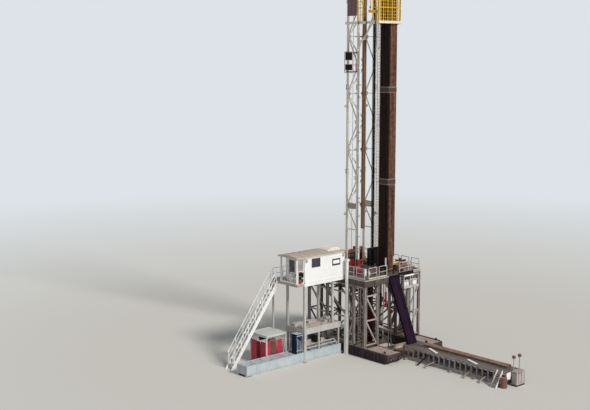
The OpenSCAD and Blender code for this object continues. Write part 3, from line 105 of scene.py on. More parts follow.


# %% [markdown]
# Painted structural steel is what most of the rig is made of: hot-rolled steel, blasted,
# primed and sprayed with two coats of alkyd enamel. Sun and mud work on it. The paint
# fades in broad patches, rain draws dirt down in streaks, chips show rust, and dust
# settles on the upper faces. One recipe makes all of it, with a colour for each paint.
# The real chips are 2 to 10 mm wide; they are drawn at about 30 mm so that they show.
# Where shade falls, under the drill floor or under a flange, the recipe can also paint a darker
# colour in, as painted shade.

# %% Painted steel
def painted_steel(name, paint, faded, dirt="#3d3128", rough=0.5, grime=0.5, chips=0.35, dust=0.25,
                  shine=0.35, painted_shade=0.0, painted_shade_on=("Y", -1.42, -1.15)):
    """Enamel on steel: faded patches, dirt streaks, rust chips, dust on top, and painted shade past
    a line.
    """
    material, t = new_material(name)
    place = add(t, "TexCoord").outputs["Object"]
    # Faded patches about 0.6 m across
    patch = add(t, "TexNoise", {"Vector": place, "Scale": 1.7, "Detail": 4.0, "Roughness": 0.6})
    patch_mask = add(t, "MapRange", {"Value": patch.outputs["Fac"], "From Min": 0.35,
                                     "From Max": 0.68})
    # Streaks 50 mm wide and about 0.7 m long, drawn down by rain
    long = add(t, "Mapping", {"Vector": place, "Scale": (20.0, 20.0, 1.4)})
    streak = add(t, "TexNoise", {"Vector": long.outputs["Vector"], "Scale": 1.0, "Detail": 3.0,
                                 "Roughness": 0.55})
    streak_mask = add(t, "MapRange", {"Value": streak.outputs["Fac"], "From Min": 0.5,
                                      "From Max": 0.8, "To Max": grime})
    # Chips at about 30 mm, gathered where a broader noise allows them
    chip = add(t, "TexNoise", {"Vector": place, "Scale": 34.0, "Detail": 2.0, "Roughness": 0.5})
    area = add(t, "TexNoise", {"Vector": place, "Scale": 3.1, "Detail": 2.0})
    both = add(t, "Math", {0: chip.outputs["Fac"], 1: area.outputs["Fac"]}, operation="MULTIPLY")
    chip_mask = add(t, "MapRange", {"Value": both.outputs[0], "From Min": 0.36, "From Max": 0.42,
                                    "To Max": chips})
    # Dust lies where the face looks up
    normal = add(t, "NewGeometry").outputs["Normal"]
    up = add(t, "SeparateXYZ", {0: normal})
    dust_mask = add(t, "MapRange", {"Value": up.outputs["Z"], "From Min": 0.3, "From Max": 0.95,
                                    "To Max": dust})
    paint_mix = add(t, "Mix", {0: patch_mask.outputs[0], 6: linear(paint), 7: linear(faded)},
                    data_type="RGBA")
    dirty = add(t, "Mix", {0: streak_mask.outputs[0], 6: paint_mix.outputs[2], 7: linear(dirt)},
                data_type="RGBA")
    chipped = add(t, "Mix", {0: chip_mask.outputs[0], 6: dirty.outputs[2], 7: linear("#5b3320")},
                  data_type="RGBA")
    dusty = add(t, "Mix", {0: dust_mask.outputs[0], 6: chipped.outputs[2], 7: linear("#8d7b68")},
                data_type="RGBA")
    colour = dusty.outputs[2]
    if painted_shade:
        # Painted shade covers what lies past a line, given by axis, start and full point
        at = add(t, "SeparateXYZ", {0: place})
        near = add(t, "MapRange", {"Value": at.outputs[painted_shade_on[0]], "From Min": painted_shade_on[1],
                                   "From Max": painted_shade_on[2], "To Max": painted_shade})
        shade_amount = add(t, "MapRange", {"Value": patch.outputs["Fac"], "From Min": 0.25, "From Max": 0.5,
                                  "To Min": 0.75})
        cover_mask = add(t, "Math", {0: near.outputs[0], 1: shade_amount.outputs[0]}, operation="MULTIPLY")
        colour = add(t, "Mix", {0: cover_mask.outputs[0], 6: colour, 7: linear("#43352f")},
                     data_type="RGBA").outputs[2]
    gloss = add(t, "MapRange", {"Value": patch.outputs["Fac"], "To Min": rough - 0.12,
                                "To Max": min(rough + 0.22, 1.0)})
    # Sprayed paint over mill steel: a faint orange peel about 12 mm across, and the chips' edges
    peel = add(t, "TexNoise", {"Vector": place, "Scale": 80.0, "Detail": 2.0})
    height = add(t, "Math", {0: chip_mask.outputs[0], 1: -0.7, 2: peel.outputs["Fac"]},
                 operation="MULTIPLY_ADD")
    bump = add(t, "Bump", {"Height": height.outputs[0], "Strength": 0.25, "Distance": 0.004})
    skin = add(t, "BsdfPrincipled", {"Base Color": colour, "Roughness": gloss.outputs[0],
                                     "IOR": 1.5, "Specular IOR Level": shine,
                                     "Normal": bump.outputs["Normal"]})
    add(t, "OutputMaterial", {"Surface": skin.outputs[0]})
    return material


PAINT = {"base_steel": painted_steel("oily_black_paint_on_steel", "#3a3135", "#574a4c", rough=0.7,
                                     grime=0.5, chips=0.5, dust=0.42, shine=0.15),
         "frame_paint": painted_steel("light_grey_enamel_on_steel", "#a59c98", "#bbb2ad",
                                      grime=0.45, chips=0.45),
         "rail_paint": painted_steel("pale_grey_enamel_on_tube", "#b9b7b3", "#cac7c1", grime=0.35,
                                     chips=0.35),
         "mast_paint": painted_steel("cream_enamel_on_steel", "#ece4d3", "#f3eee1", dirt="#75665a",
                                     grime=0.42, chips=0.35, dust=0.1),
         "white_panel": painted_steel("white_enamel_on_sheet", "#f2f3f3", "#f7f7f5",
                                      dirt="#9a948a", rough=0.42, grime=0.14, chips=0.12,
                                      dust=0.1),
         "tan_roof": painted_steel("tan_dust_on_roof_sheet", "#c6b8ac", "#d2c6bb", rough=0.75,
                                   grime=0.25, chips=0.2, dust=0.3),
         "red_paint": painted_steel("dark_red_enamel_on_steel", "#7c2723", "#93372f", rough=0.45,
                                    grime=0.45, chips=0.3),
         "crimson_paint": painted_steel("crimson_enamel_on_steel", "#bb1a3e", "#cb3350", rough=0.4,
                                        grime=0.3, chips=0.2, dust=0.1),
         "black_paint": painted_steel("black_enamel_on_steel", "#151517", "#212123", rough=0.6,
                                      grime=0.3, chips=0.12, dust=0.12, shine=0.12),
         "yellow_paint": painted_steel("yellow_enamel_on_steel", "#f2b913", "#f6c93b",
                                       dirt="#7d5a1c", rough=0.42, grime=0.22, chips=0.25,
                                       dust=0.1),
         # The ramp's violet is painted near black, as painted shade
         "purple_ramp": painted_steel("violet_enamel_darkened_as_painted_shade", "#1b0a2b", "#271238",
                                      dirt="#26171a", rough=0.7, grime=0.6, chips=0.3, dust=0.03,
                                      shine=0.1),
         "skid_grey": painted_steel("blue_grey_enamel_on_steel", "#b3bec4", "#c0c9cd", grime=0.32,
                                    chips=0.3, dust=0.15),
         "blue_paint": painted_steel("dark_blue_enamel_on_steel", "#16264c", "#20355f", rough=0.5,
                                     grime=0.35, chips=0.2, dust=0.12, shine=0.2), }
print("paints:", len(PAINT))

# %% [markdown]
# Floor plate is rolled with raised lozenges, so that it isn't slippery. The paint lasts in
# the hollows, while the lozenges are scrubbed down to bright steel. The real lozenges are
# 25 mm long; here they are 60 mm, as small as the picture can hold.

# %% Chequer plate
def chequer_plate(name, paint, worn):
    """Rolled floor plate: crossed rows of raised lozenges, scrubbed bright on top."""
    material, t = new_material(name)
    place = add(t, "TexCoord").outputs["Object"]
    rows = []
    for angle in (45, -45):
        turned = add(t, "Mapping", {"Vector": place, "Rotation": (0, 0, math.radians(angle)),
                                    "Scale": (8.0, 16.0, 1.0)})
        flat = add(t, "SeparateXYZ", {0: turned.outputs["Vector"]})
        along = add(t, "Math", {0: flat.outputs["X"], 1: 1.0}, operation="PINGPONG")
        across = add(t, "Math", {0: flat.outputs["Y"], 1: 1.0}, operation="PINGPONG")
        both = add(t, "Math", {0: along.outputs[0], 1: across.outputs[0]}, operation="MULTIPLY")
        rows.append(both.outputs[0])
    tread = add(t, "Math", {0: rows[0], 1: rows[1]}, operation="MAXIMUM")
    raised = add(t, "MapRange", {"Value": tread.outputs[0], "From Min": 0.6, "From Max": 0.72})
    mud = add(t, "TexNoise", {"Vector": place, "Scale": 2.3, "Detail": 5.0, "Roughness": 0.65})
    cover_mask = add(t, "MapRange", {"Value": mud.outputs["Fac"], "From Min": 0.42, "From Max": 0.66,
                                   "To Max": 0.8})
    plate = add(t, "Mix", {0: raised.outputs[0], 6: linear(paint), 7: linear(worn)},
                data_type="RGBA")
    muddy = add(t, "Mix", {0: cover_mask.outputs[0], 6: plate.outputs[2], 7: linear("#6e5a49")},
                data_type="RGBA")
    bump = add(t, "Bump", {"Height": raised.outputs[0], "Strength": 0.6, "Distance": 0.004})
    skin = add(t, "BsdfPrincipled", {"Base Color": muddy.outputs[2], "Roughness": 0.6,
                                     "Metallic": 0.2, "Normal": bump.outputs["Normal"]})
    add(t, "OutputMaterial", {"Surface": skin.outputs[0]})
    return material


deck_plate = chequer_plate("chequer_plate_steel", "#57504b", "#8b857e")

# %% [markdown]
# Drill pipe is bare forged and rolled steel that stands outdoors. Mill scale and rust give
# it a brown skin in broad cloudy patches, and each stand weathers differently. The joints
# at its ends are gripped by tongs all day and stay darker and brighter in turns.

# %% Rusty pipe
def rusty_pipe(name, dark, brown, bright, period=0.0):
    """Brown mill scale on rolled steel. A period bands it along its height, in metres."""
    material, t = new_material(name)
    place = add(t, "TexCoord").outputs["Object"]
    # Every pipe differs: a noise that is narrow across the pipes and long along them
    stretched = add(t, "Mapping", {"Vector": place, "Scale": (11.0, 11.0, 0.35)})
    each = add(t, "TexNoise", {"Vector": stretched.outputs["Vector"], "Scale": 1.0, "Detail": 2.0})
    cloud = add(t, "TexNoise", {"Vector": place, "Scale": 6.0, "Detail": 6.0, "Roughness": 0.65})
    tone = add(t, "Math", {0: each.outputs["Fac"], 1: cloud.outputs["Fac"]}, operation="ADD")
    shade = add(t, "MapRange", {"Value": tone.outputs[0], "From Min": 0.75, "From Max": 1.3})
    scale = add(t, "Mix", {0: shade.outputs[0], 6: linear(dark), 7: linear(brown)},
                data_type="RGBA")
    colour = scale.outputs[2]
    if period:
        # The columns nearest the well are near black in the photograph; here that is painted shade
        at = add(t, "SeparateXYZ", {0: place})
        shade_amount = add(t, "MapRange", {"Value": at.outputs["X"], "From Min": 0.225, "From Max": 0.215,
                                  "To Max": 0.9})
        colour = add(t, "Mix", {0: shade_amount.outputs[0], 6: colour, 7: linear("#0a0605")},
                     data_type="RGBA").outputs[2]
        height = at.outputs["Z"]
        # The tool joints: tongs leave a bright ring at both ends of a dark, greasy band
        turn = add(t, "Math", {0: height, 1: 2 * math.pi / period, 2: 2.425},
                   operation="MULTIPLY_ADD")
        wave = add(t, "Math", {0: turn.outputs[0]}, operation="SINE")
        for low, full, paint in ((0.976, 0.98, bright), (0.986, 0.99, "#1f110e")):
            band = add(t, "MapRange", {"Value": wave.outputs[0], "From Min": low, "From Max": full,
                                       "To Max": 0.75})
            colour = add(t, "Mix", {0: band.outputs[0], 6: colour, 7: linear(paint)},
                         data_type="RGBA").outputs[2]
    pits = add(t, "TexNoise", {"Vector": place, "Scale": 45.0, "Detail": 3.0})
    bump = add(t, "Bump", {"Height": pits.outputs["Fac"], "Strength": 0.35, "Distance": 0.003})
    skin = add(t, "BsdfPrincipled", {"Base Color": colour, "Roughness": 0.72, "Metallic": 0.1,
                                     "Specular IOR Level": 0.25,
                                     "Normal": bump.outputs["Normal"]})
    add(t, "OutputMaterial", {"Surface": skin.outputs[0]})
    return material


pipe_scale = rusty_pipe("mill_scale_and_painted_shade_on_drill_pipe", "#4a2e24", "#a06e5a", "#b0988b", period=4.433)
casing_rust = rusty_pipe("rust_on_casing", "#7c6054", "#ae9181", "#9a8478")
rail_rust = rusty_pipe("rust_and_grease_on_guide_rail", "#6b5140", "#97775d", "#9a8478")

# %% [markdown]
# Turned and cast steel that is greased and rubbed by ropes, such as sheaves, the rotary
# table and pins, keeps a dull metal shine under an oily film. Its turning marks are a few
# tenths of a millimetre apart, so they are left to the roughness.

# %% Greased steel
def greased_steel(name, steel, oil, rough=0.42):
    """Bare machined steel under an uneven film of dark grease."""
    material, t = new_material(name)
    place = add(t, "TexCoord").outputs["Object"]
    film = add(t, "TexNoise", {"Vector": place, "Scale": 9.0, "Detail": 5.0, "Roughness": 0.6})
    mask = add(t, "MapRange", {"Value": film.outputs["Fac"], "From Min": 0.38, "From Max": 0.62})
    colour = add(t, "Mix", {0: mask.outputs[0], 6: linear(steel), 7: linear(oil)},
                 data_type="RGBA")
    dull = add(t, "MapRange", {"Value": film.outputs["Fac"], "To Min": rough,
                               "To Max": rough + 0.3})
    bump = add(t, "Bump", {"Height": film.outputs["Fac"], "Strength": 0.2, "Distance": 0.003})
    skin = add(t, "BsdfPrincipled", {"Base Color": colour.outputs[2], "Metallic": 0.7,
                                     "Roughness": dull.outputs[0],
                                     "Normal": bump.outputs["Normal"]})
    add(t, "OutputMaterial", {"Surface": skin.outputs[0]})
    return material


bare_steel = greased_steel("greased_cast_steel", "#8c8983", "#4c4641")
bolt_steel = greased_steel("galvanised_bolt_steel", "#a5a39d", "#6d675f", rough=0.5)

# %% [markdown]
# Wire rope is laid from six strands, so it shows slanting ridges. At 18 mm thick the lay
# is about 120 mm long. The ridges are a wave that runs up the rope at a slant.

# %% Wire rope
def wire_rope(name):
    """Six greased strands laid round a core."""
    material, t = new_material(name)
    place = add(t, "TexCoord").outputs["Object"]
    lay = add(t, "Mapping", {"Vector": place, "Rotation": (math.radians(35), math.radians(35), 0)})
    strands = add(t, "TexWave", {"Vector": lay.outputs["Vector"], "Scale": 16.0,
                                 "Distortion": 0.6}, bands_direction="Z")
    colour = add(t, "Mix", {0: strands.outputs["Fac"], 6: linear("#3a3633"), 7: linear("#77726b")},
                 data_type="RGBA")
    bump = add(t, "Bump", {"Height": strands.outputs["Fac"], "Strength": 0.5, "Distance": 0.003})
    skin = add(t, "BsdfPrincipled", {"Base Color": colour.outputs[2], "Metallic": 0.6,
                                     "Roughness": 0.5, "Normal": bump.outputs["Normal"]})
    add(t, "OutputMaterial", {"Surface": skin.outputs[0]})
    return material


rope_steel = wire_rope("greased_wire_rope")

# %% [markdown]
# A few things on the rig aren't metal: the planks in the cellar are rough-sawn softwood,
# and the lamps and windows are glass. Each gets its own short recipe.

# %% Timber and glass
def sawn_timber(name, light, dark):
    """Rough-sawn softwood: growth rings a few millimetres apart, drawn at about 30 mm."""
    material, t = new_material(name)
    place = add(t, "TexCoord").outputs["Object"]
    grain = add(t, "Mapping", {"Vector": place, "Scale": (30.0, 2.0, 30.0)})
    rings = add(t, "TexNoise", {"Vector": grain.outputs["Vector"], "Scale": 1.0, "Detail": 5.0})
    mask = add(t, "MapRange", {"Value": rings.outputs["Fac"], "From Min": 0.35, "From Max": 0.7})
    colour = add(t, "Mix", {0: mask.outputs[0], 6: linear(light), 7: linear(dark)},
                 data_type="RGBA")
    bump = add(t, "Bump", {"Height": rings.outputs["Fac"], "Strength": 0.4, "Distance": 0.004})
    skin = add(t, "BsdfPrincipled", {"Base Color": colour.outputs[2], "Roughness": 0.85,
                                     "Normal": bump.outputs["Normal"]})
    add(t, "OutputMaterial", {"Surface": skin.outputs[0]})
    return material


def dusty_glass(name, tint, dust):
    """Float glass with a film of dust that thickens in patches."""
    material, t = new_material(name)
    place = add(t, "TexCoord").outputs["Object"]
    film = add(t, "TexNoise", {"Vector": place, "Scale": 5.0, "Detail": 4.0})
    mask = add(t, "MapRange", {"Value": film.outputs["Fac"], "From Min": 0.4, "From Max": 0.75,
                               "To Max": 0.5})
    colour = add(t, "Mix", {0: mask.outputs[0], 6: linear(tint), 7: linear(dust)},
                 data_type="RGBA")
    dull = add(t, "MapRange", {"Value": mask.outputs[0], "To Min": 0.05, "To Max": 0.5})
    skin = add(t, "BsdfPrincipled", {"Base Color": colour.outputs[2], "Roughness": dull.outputs[0],
                                     "IOR": 1.52})
    add(t, "OutputMaterial", {"Surface": skin.outputs[0]})
    return material


timber = sawn_timber("sawn_pine_planks", "#8c6f52", "#5e4631")
window_glass = dusty_glass("dusty_window_glass", "#26303a", "#8b8478")
lamp_glass = dusty_glass("lamp_lens_glass", "#e8e6da", "#b8b0a0")

# %% [markdown]
# Each CAD node gets the finish that its record slot names, or a special finish listed for it; some
# special finishes carry painted shade. Nothing about their shape changes here.

# %% Dress the CAD nodes
FINISH = dict(PAINT, deck_plate=deck_plate, rusty_pipe=pipe_scale, bare_steel=bare_steel,
              rope_steel=rope_steel)
SPECIAL = {"catwalk_pipes": casing_rust, "guide_rail": rail_rust}
# Under the drill floor the trusses, cross frames and spreaders are painted darker behind the front
# tower, as painted shade
grey_in_painted_shade = painted_steel("grey_enamel_with_painted_shade", "#ad9f98", "#bfb1a8", grime=0.45, chips=0.45,
                         painted_shade=0.88)
# The preventer's red is painted near black, and darker still above 1.9 m, as painted shade under
# the drill floor
SPECIAL["blowout_preventer"] = painted_steel("red_enamel_darkened_as_painted_shade", "#40191a", "#56221f",
                                             rough=0.6, chips=0.3, painted_shade=0.95,
                                             painted_shade_on=("Z", 1.75, 1.95), shine=0.2)
# Below the top flange the floor beams' web is painted dark, as painted shade under the flange
SPECIAL["floor_beams"] = painted_steel("grey_enamel_with_painted_web_shade", "#c4bcb0", "#d0c8bc",
                                       grime=0.45, chips=0.4, painted_shade=0.95,
                                       painted_shade_on=("Z", 3.742, 3.732))
SPECIAL["catwalk_frame"] = painted_steel("mauve_grey_enamel_on_steel", "#8f868a", "#aaa2a3",
                                         grime=0.6, chips=0.5)
SPECIAL["power_unit_roof"] = painted_steel("pale_grey_enamel_on_sheet", "#c4c6c4", "#d0d1cd",
                                           grime=0.3, chips=0.25, dust=0.1)
for name in ("light_post", "standpipe", "catwalk_ladder"):
    SPECIAL[name] = PAINT["white_panel"]
SPECIAL["racking_board"] = PAINT["mast_paint"]
SPECIAL["mid_platform"] = PAINT["rail_paint"]
# The mast ladder takes the darker mauve-grey paint; its darkness is painted shade
SPECIAL["mast_ladder"] = SPECIAL["catwalk_frame"]
for name in ("left_inner_truss", "right_inner_truss", "left_cross_frames", "right_cross_frames",
             "base_spreaders"):
    SPECIAL[name] = grey_in_painted_shade
slot_of = {s["node"]: s["material_slot"] for s in frame["record"]["subparts"]}
for name, node in NODES.items():
    node.data.materials.clear()
    node.data.materials.append(SPECIAL.get(name) or FINISH[slot_of[name]])
print("dressed:", len(slot_of))

# %% [markdown]
# The stage is a pale floor under one soft sun and an even sky. The sun comes from the
# V-door side, because the faces towards the catwalk are the bright ones in the photograph
# and the ones towards the stair are darker. Far from the rig the floor fades into the
# background, so that no horizon line crosses the mast.

# %% Stage and light
BACKDROP = linear("#dde3e8")


def pale_floor():
    """Pale matt floor that keeps the rig's shadow and fades to the backdrop far away."""
    material, t = new_material("pale_matt_floor")
    place = add(t, "TexCoord").outputs["Object"]
    away = add(t, "VectorMath", {0: place}, operation="LENGTH")
    fade = add(t, "MapRange", {"Value": away.outputs["Value"], "From Min": 14.0, "From Max": 60.0})
    seen = add(t, "LightPath")
    direct = add(t, "Math", {0: seen.outputs["Is Camera Ray"], 1: seen.outputs["Is Glossy Ray"]},
                 operation="MAXIMUM")
    amount = add(t, "Math", {0: fade.outputs[0], 1: direct.outputs[0]}, operation="MULTIPLY")
    ground = add(t, "BsdfDiffuse", {"Color": linear("#d6d3cc")})
    haze = add(t, "Emission", {"Color": BACKDROP})
    mixed = add(t, "MixShader", {0: amount.outputs[0], 1: ground.outputs[0], 2: haze.outputs[0]})
    add(t, "OutputMaterial", {"Surface": mixed.outputs[0]})
    return material


floor_mesh = bpy.data.meshes.new("stage_floor")
ring = [(700 * math.cos(a * math.pi / 32), 700 * math.sin(a * math.pi / 32), -0.002)
        for a in range(64)]
floor_mesh.from_pydata(ring, [], [list(range(64))])
floor_mesh.materials.append(pale_floor())
stage_floor = bpy.data.objects.new("stage_floor", floor_mesh)
scene.collection.objects.link(stage_floor)

world = bpy.data.worlds.new("even_sky")
world.use_nodes = True
sky = world.node_tree
sky.nodes.clear()
path = add(sky, "LightPath")
direct = add(sky, "Math", {0: path.outputs["Is Camera Ray"], 1: path.outputs["Is Glossy Ray"]},
             operation="MAXIMUM")
clear = add(sky, "Math", {0: direct.outputs[0], 1: path.outputs["Is Transmission Ray"]},
            operation="MAXIMUM")
light = add(sky, "Background", {"Color": linear("#e9f0f8"), "Strength": 0.37})
view = add(sky, "Background", {"Color": BACKDROP, "Strength": 1.0})
blend = add(sky, "MixShader", {0: clear.outputs[0], 1: light.outputs[0], 2: view.outputs[0]})
add(sky, "OutputWorld", {"Surface": blend.outputs[0]})
scene.world = world

sun = bpy.data.lights.new("soft_sun", "SUN")
sun.energy = 2.6
sun.angle = math.radians(14)
sun.color = (1.0, 0.97, 0.92)
sun_object = bpy.data.objects.new("soft_sun", sun)
sun_object.rotation_euler = Vector((-0.05, 0.78, -0.62)).to_track_quat("-Z", "Y").to_euler()
scene.collection.objects.link(sun_object)

# %% [markdown]
# The details are built as meshes from a few basic moves of a steel fabricator: a bar
# between two points, a welded box, a bent tube, a turned part and a bolt head. Every
# piece of one finish in one place on the rig goes into a single mesh. Boxes and bars get
# a small bevel, because rolled and folded steel never has a knife edge.

# %% Shape tools
def block(bm, lo, hi):
    """A closed box between two corners."""
    corners = [bm.verts.new((x, y, z)) for x in (lo[0], hi[0]) for y in (lo[1], hi[1])
               for z in (lo[2], hi[2])]
    for face in ((0, 1, 3, 2), (4, 6, 7, 5), (0, 4, 5, 1), (2, 3, 7, 6), (0, 2, 6, 4),
                 (1, 5, 7, 3)):
        bm.faces.new([corners[i] for i in face])


def axes_along(direction):
    """Three axes of which the last runs along the direction."""
    d = Vector(direction).normalized()
    side = Vector((0, 0, 1)).cross(d)
    side = side.normalized() if side.length > 0.05 else Vector((1, 0, 0))
    return side, d.cross(side), d


def bar(bm, a, b, w, h=None):
    """A square or flat bar from a to b."""
    a, b = Vector(a), Vector(b)
    side, over, _ = axes_along(b - a)
    side, over = side * w / 2, over * (h or w) / 2
    ends = [[bm.verts.new(p + side * i + over * k)
             for i, k in ((-1, -1), (1, -1), (1, 1), (-1, 1))] for p in (a, b)]
    bm.faces.new(ends[0][::-1])
    bm.faces.new(ends[1])
    for i in range(4):
        bm.faces.new((ends[0][i], ends[0][(i + 1) % 4], ends[1][(i + 1) % 4], ends[1][i]))


def tube(bm, points, radius, sides=12):
    """A round pipe or bar along a path, closed at both ends."""
    points = [Vector(p) for p in points]
    rings, side = [], None
    for i, p in enumerate(points):
        d = (points[min(i + 1, len(points) - 1)] - points[max(i - 1, 0)]).normalized()
        side = axes_along(d)[0] if side is None else (side - d * side.dot(d)).normalized()
        over = d.cross(side)
        rings.append([bm.verts.new(p + radius * (side * math.cos(k * 2 * math.pi / sides)
                                                 + over * math.sin(k * 2 * math.pi / sides)))
                      for k in range(sides)])
    for low, high in zip(rings, rings[1:]):
        for k in range(sides):
            bm.faces.new((low[k], low[(k + 1) % sides], high[(k + 1) % sides], high[k]))
    bm.faces.new(rings[0][::-1])
    bm.faces.new(rings[-1])


def arc(a, corner, b, radius, steps=6):
    """The points of a bend from a to b round a corner."""
    a, corner, b = Vector(a), Vector(corner), Vector(b)
    start = corner + (a - corner).normalized() * radius
    end = corner + (b - corner).normalized() * radius
    bend = []
    for i in range(steps + 1):
        u = i / steps
        bend.append(start * (1 - u) ** 2 + corner * 2 * u * (1 - u) + end * u * u)
    return bend


def pipe_run(points, radius):
    """A path through the points, with its inner corners rounded."""
    path = [Vector(points[0])]
    for a, corner, b in zip(points, points[1:], points[2:]):
        path += arc(a, corner, b, radius)
    return path + [Vector(points[-1])]


def turned(bm, outline, at, direction, sides=24):
    """A turned part: the outline is a list of radius and distance along the direction."""
    side, over, along = axes_along(direction)
    rings = []
    for radius, distance in outline:
        centre = Vector(at) + along * distance
        if radius < 1e-6:
            rings.append([bm.verts.new(centre)])
            continue
        rings.append([bm.verts.new(centre + radius * (side * math.cos(k * 2 * math.pi / sides)
                                                      + over * math.sin(k * 2 * math.pi / sides)))
                      for k in range(sides)])
    for low, high in zip(rings, rings[1:]):
        for k in range(sides):
            n = (k + 1) % sides
            corners = ([low[0]] if len(low) == 1 else [low[k], low[n]])
            corners += ([high[0]] if len(high) == 1 else [high[n], high[k]])
            bm.faces.new(corners)
    for ring, flip in ((rings[0], True), (rings[-1], False)):
        if len(ring) > 1:
            bm.faces.new(ring[::-1] if flip else ring)


def bolt(bm, at, direction, size=0.012):
    """A hexagon bolt head on its washer."""
    turned(bm, [(size * 1.25, 0), (size * 1.25, size * 0.25), (size, size * 0.25),
                (size, size * 0.95), (size * 0.8, size * 1.1)], at, direction, 6)


def bolt_ring(bm, at, direction, radius, count, size=0.012):
    """Bolt heads in a circle, as on a flange."""
    side, over, _ = axes_along(direction)
    for k in range(count):
        turn = (k + 0.5) * 2 * math.pi / count
        bolt(bm, Vector(at) + radius * (side * math.cos(turn) + over * math.sin(turn)), direction,
             size)


def handwheel(bm, at, direction, radius):
    """A valve's handwheel with its spokes and stem."""
    side, over, along = axes_along(direction)
    centre = Vector(at) + along * radius * 0.6
    rim = [centre + radius * (side * math.cos(a) + over * math.sin(a))
           for a in [k * 2 * math.pi / 20 for k in range(21)]]
    tube(bm, rim, radius * 0.1, 6)
    for k in range(3):
        a = k * math.pi / 3
        reach = radius * (side * math.cos(a) + over * math.sin(a))
        bar(bm, centre - reach, centre + reach, radius * 0.12)
    tube(bm, [at, centre], radius * 0.14, 8)


def make(name, bm, finish, edge=0.0, soft=35):
    """Turns the mesh into a piece that rides on the rig, with its finish."""
    bmesh.ops.recalc_face_normals(bm, faces=bm.faces)
    for face in bm.faces:
        face.smooth = True
    mesh = bpy.data.meshes.new(name)
    bm.to_mesh(mesh)
    bm.free()
    mesh.set_sharp_from_angle(angle=math.radians(soft))
    mesh.materials.append(finish)
    piece = bpy.data.objects.new(name, mesh)
    scene.collection.objects.link(piece)
    if edge:
        bevel = piece.modifiers.new("rounded_edges", "BEVEL")
        bevel.width = edge
        bevel.segments = 1
        bevel.limit_method = "ANGLE"
        bevel.angle_limit = math.radians(50)
        bevel.harden_normals = True
    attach(piece, "root")
    print(name, len(mesh.polygons), "faces")
    return piece


def paint_piece(name, bm, slot, edge=0.0, soft=35):
    """Makes a piece in the paint that its slot names."""
    return make(name, bm, PAINT[slot], edge, soft)


# %% [markdown]
# Some sizes that many details share are read from the CAD nodes' boxes, so that the details sit
# where the solids are; the others are given as numbers. The clearance keeps a plate that lies on a
# solid from flickering through its face.

# %% Shared sizes
def span(node):
    """The lowest and highest corners of a node, as plain numbers."""
    lo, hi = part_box(node)
    return tuple(lo), tuple(hi)


FLOOR_LO, FLOOR_HI = span("floor_deck")
FLOOR_Z, FLOOR_FRONT, FLOOR_BACK, FLOOR_SIDE = 3.8, -1.55, 2.45, 1.95
DOG_LO, DOG_HI = span("doghouse_front_wall")
DOG_BACK = span("doghouse_back_wall")[1][1]
LEG_X, LEG_FRONT, LEG_BACK = 0.6, 0.375, 1.075
NODE_Z = [7.0 + 1.372 * i for i in range(15)]
POST_X = (1.895, 1.055)
SUB_Y = (-1.495, -0.7475, -0.3125, 1.075, 2.395)
SUB_Z = (0.61, 1.803, 2.996)
POST_FOOT, POST_HEAD = 0.47, 3.44
SIT = 0.002
print("floor", FLOOR_LO[:2], FLOOR_HI[:2])

# %% [markdown]
# The doghouse is a steel site cabin. Its sheets are pressed with shallow ribs for
# stiffness and bolted to a frame. On the front are two plates, which stay blank here.

# %% Doghouse skin
bm = bmesh.new()
x = DOG_LO[0] + 0.09
while x < DOG_HI[0] - 0.06:
    bar(bm, (x, DOG_LO[1] - 0.001, FLOOR_Z + 0.09), (x, DOG_LO[1] - 0.001, 4.93), 0.05, 0.008)
    bar(bm, (x, DOG_BACK + 0.001, FLOOR_Z + 0.09), (x, DOG_BACK + 0.001, 4.93), 0.05, 0.008)
    x += 0.1345
for y in (DOG_LO[1] - 0.006, DOG_BACK + 0.006):
    for z in (FLOOR_Z + 0.035, 4.965):
        bar(bm, (DOG_LO[0], y, z), (DOG_HI[0], y, z), 0.02, 0.06)
    for x in (DOG_LO[0] + 0.02, DOG_HI[0] - 0.02):
        bar(bm, (x, y, FLOOR_Z), (x, y, 5.0), 0.05, 0.02)
paint_piece("doghouse_ribs", bm, "white_panel", edge=0.004)

bm = bmesh.new()
FRONT = DOG_LO[1] - 0.012
for x0, x1, z0, z1 in ((-4.1, -3.56, 4.5, 4.92), (-2.77, -2.72, 4.46, 4.72),
                       (-2.31, -2.26, 4.46, 4.72), (-2.77, -2.26, 4.42, 4.5),
                       (-2.77, -2.26, 4.67, 4.74)):
    block(bm, (x0, FRONT - 0.012, z0), (x1, FRONT, z1))
make("doghouse_blank_plates", bm, painted_steel("dark_violet_grey_enamel_plate", "#3f3a48",
                                                "#4d4856", grime=0.2, chips=0.1, shine=0.15),
     edge=0.003)
bm = bmesh.new()
block(bm, (-2.74, FRONT - 0.008, 4.48), (-2.29, FRONT, 4.7))
for x0, z0 in ((-3.42, 4.3), (-3.02, 4.3)):
    block(bm, (x0, FRONT - 0.01, z0), (x0 + 0.3, FRONT, z0 + 0.02))
paint_piece("doghouse_white_plate", bm, "white_panel", edge=0.003)

# %% [markdown]
# Its doors are flat steel leaves with a small window, hung on strap hinges. Both stand
# open against the end walls. A window on the right-hand wall looks out on the well.

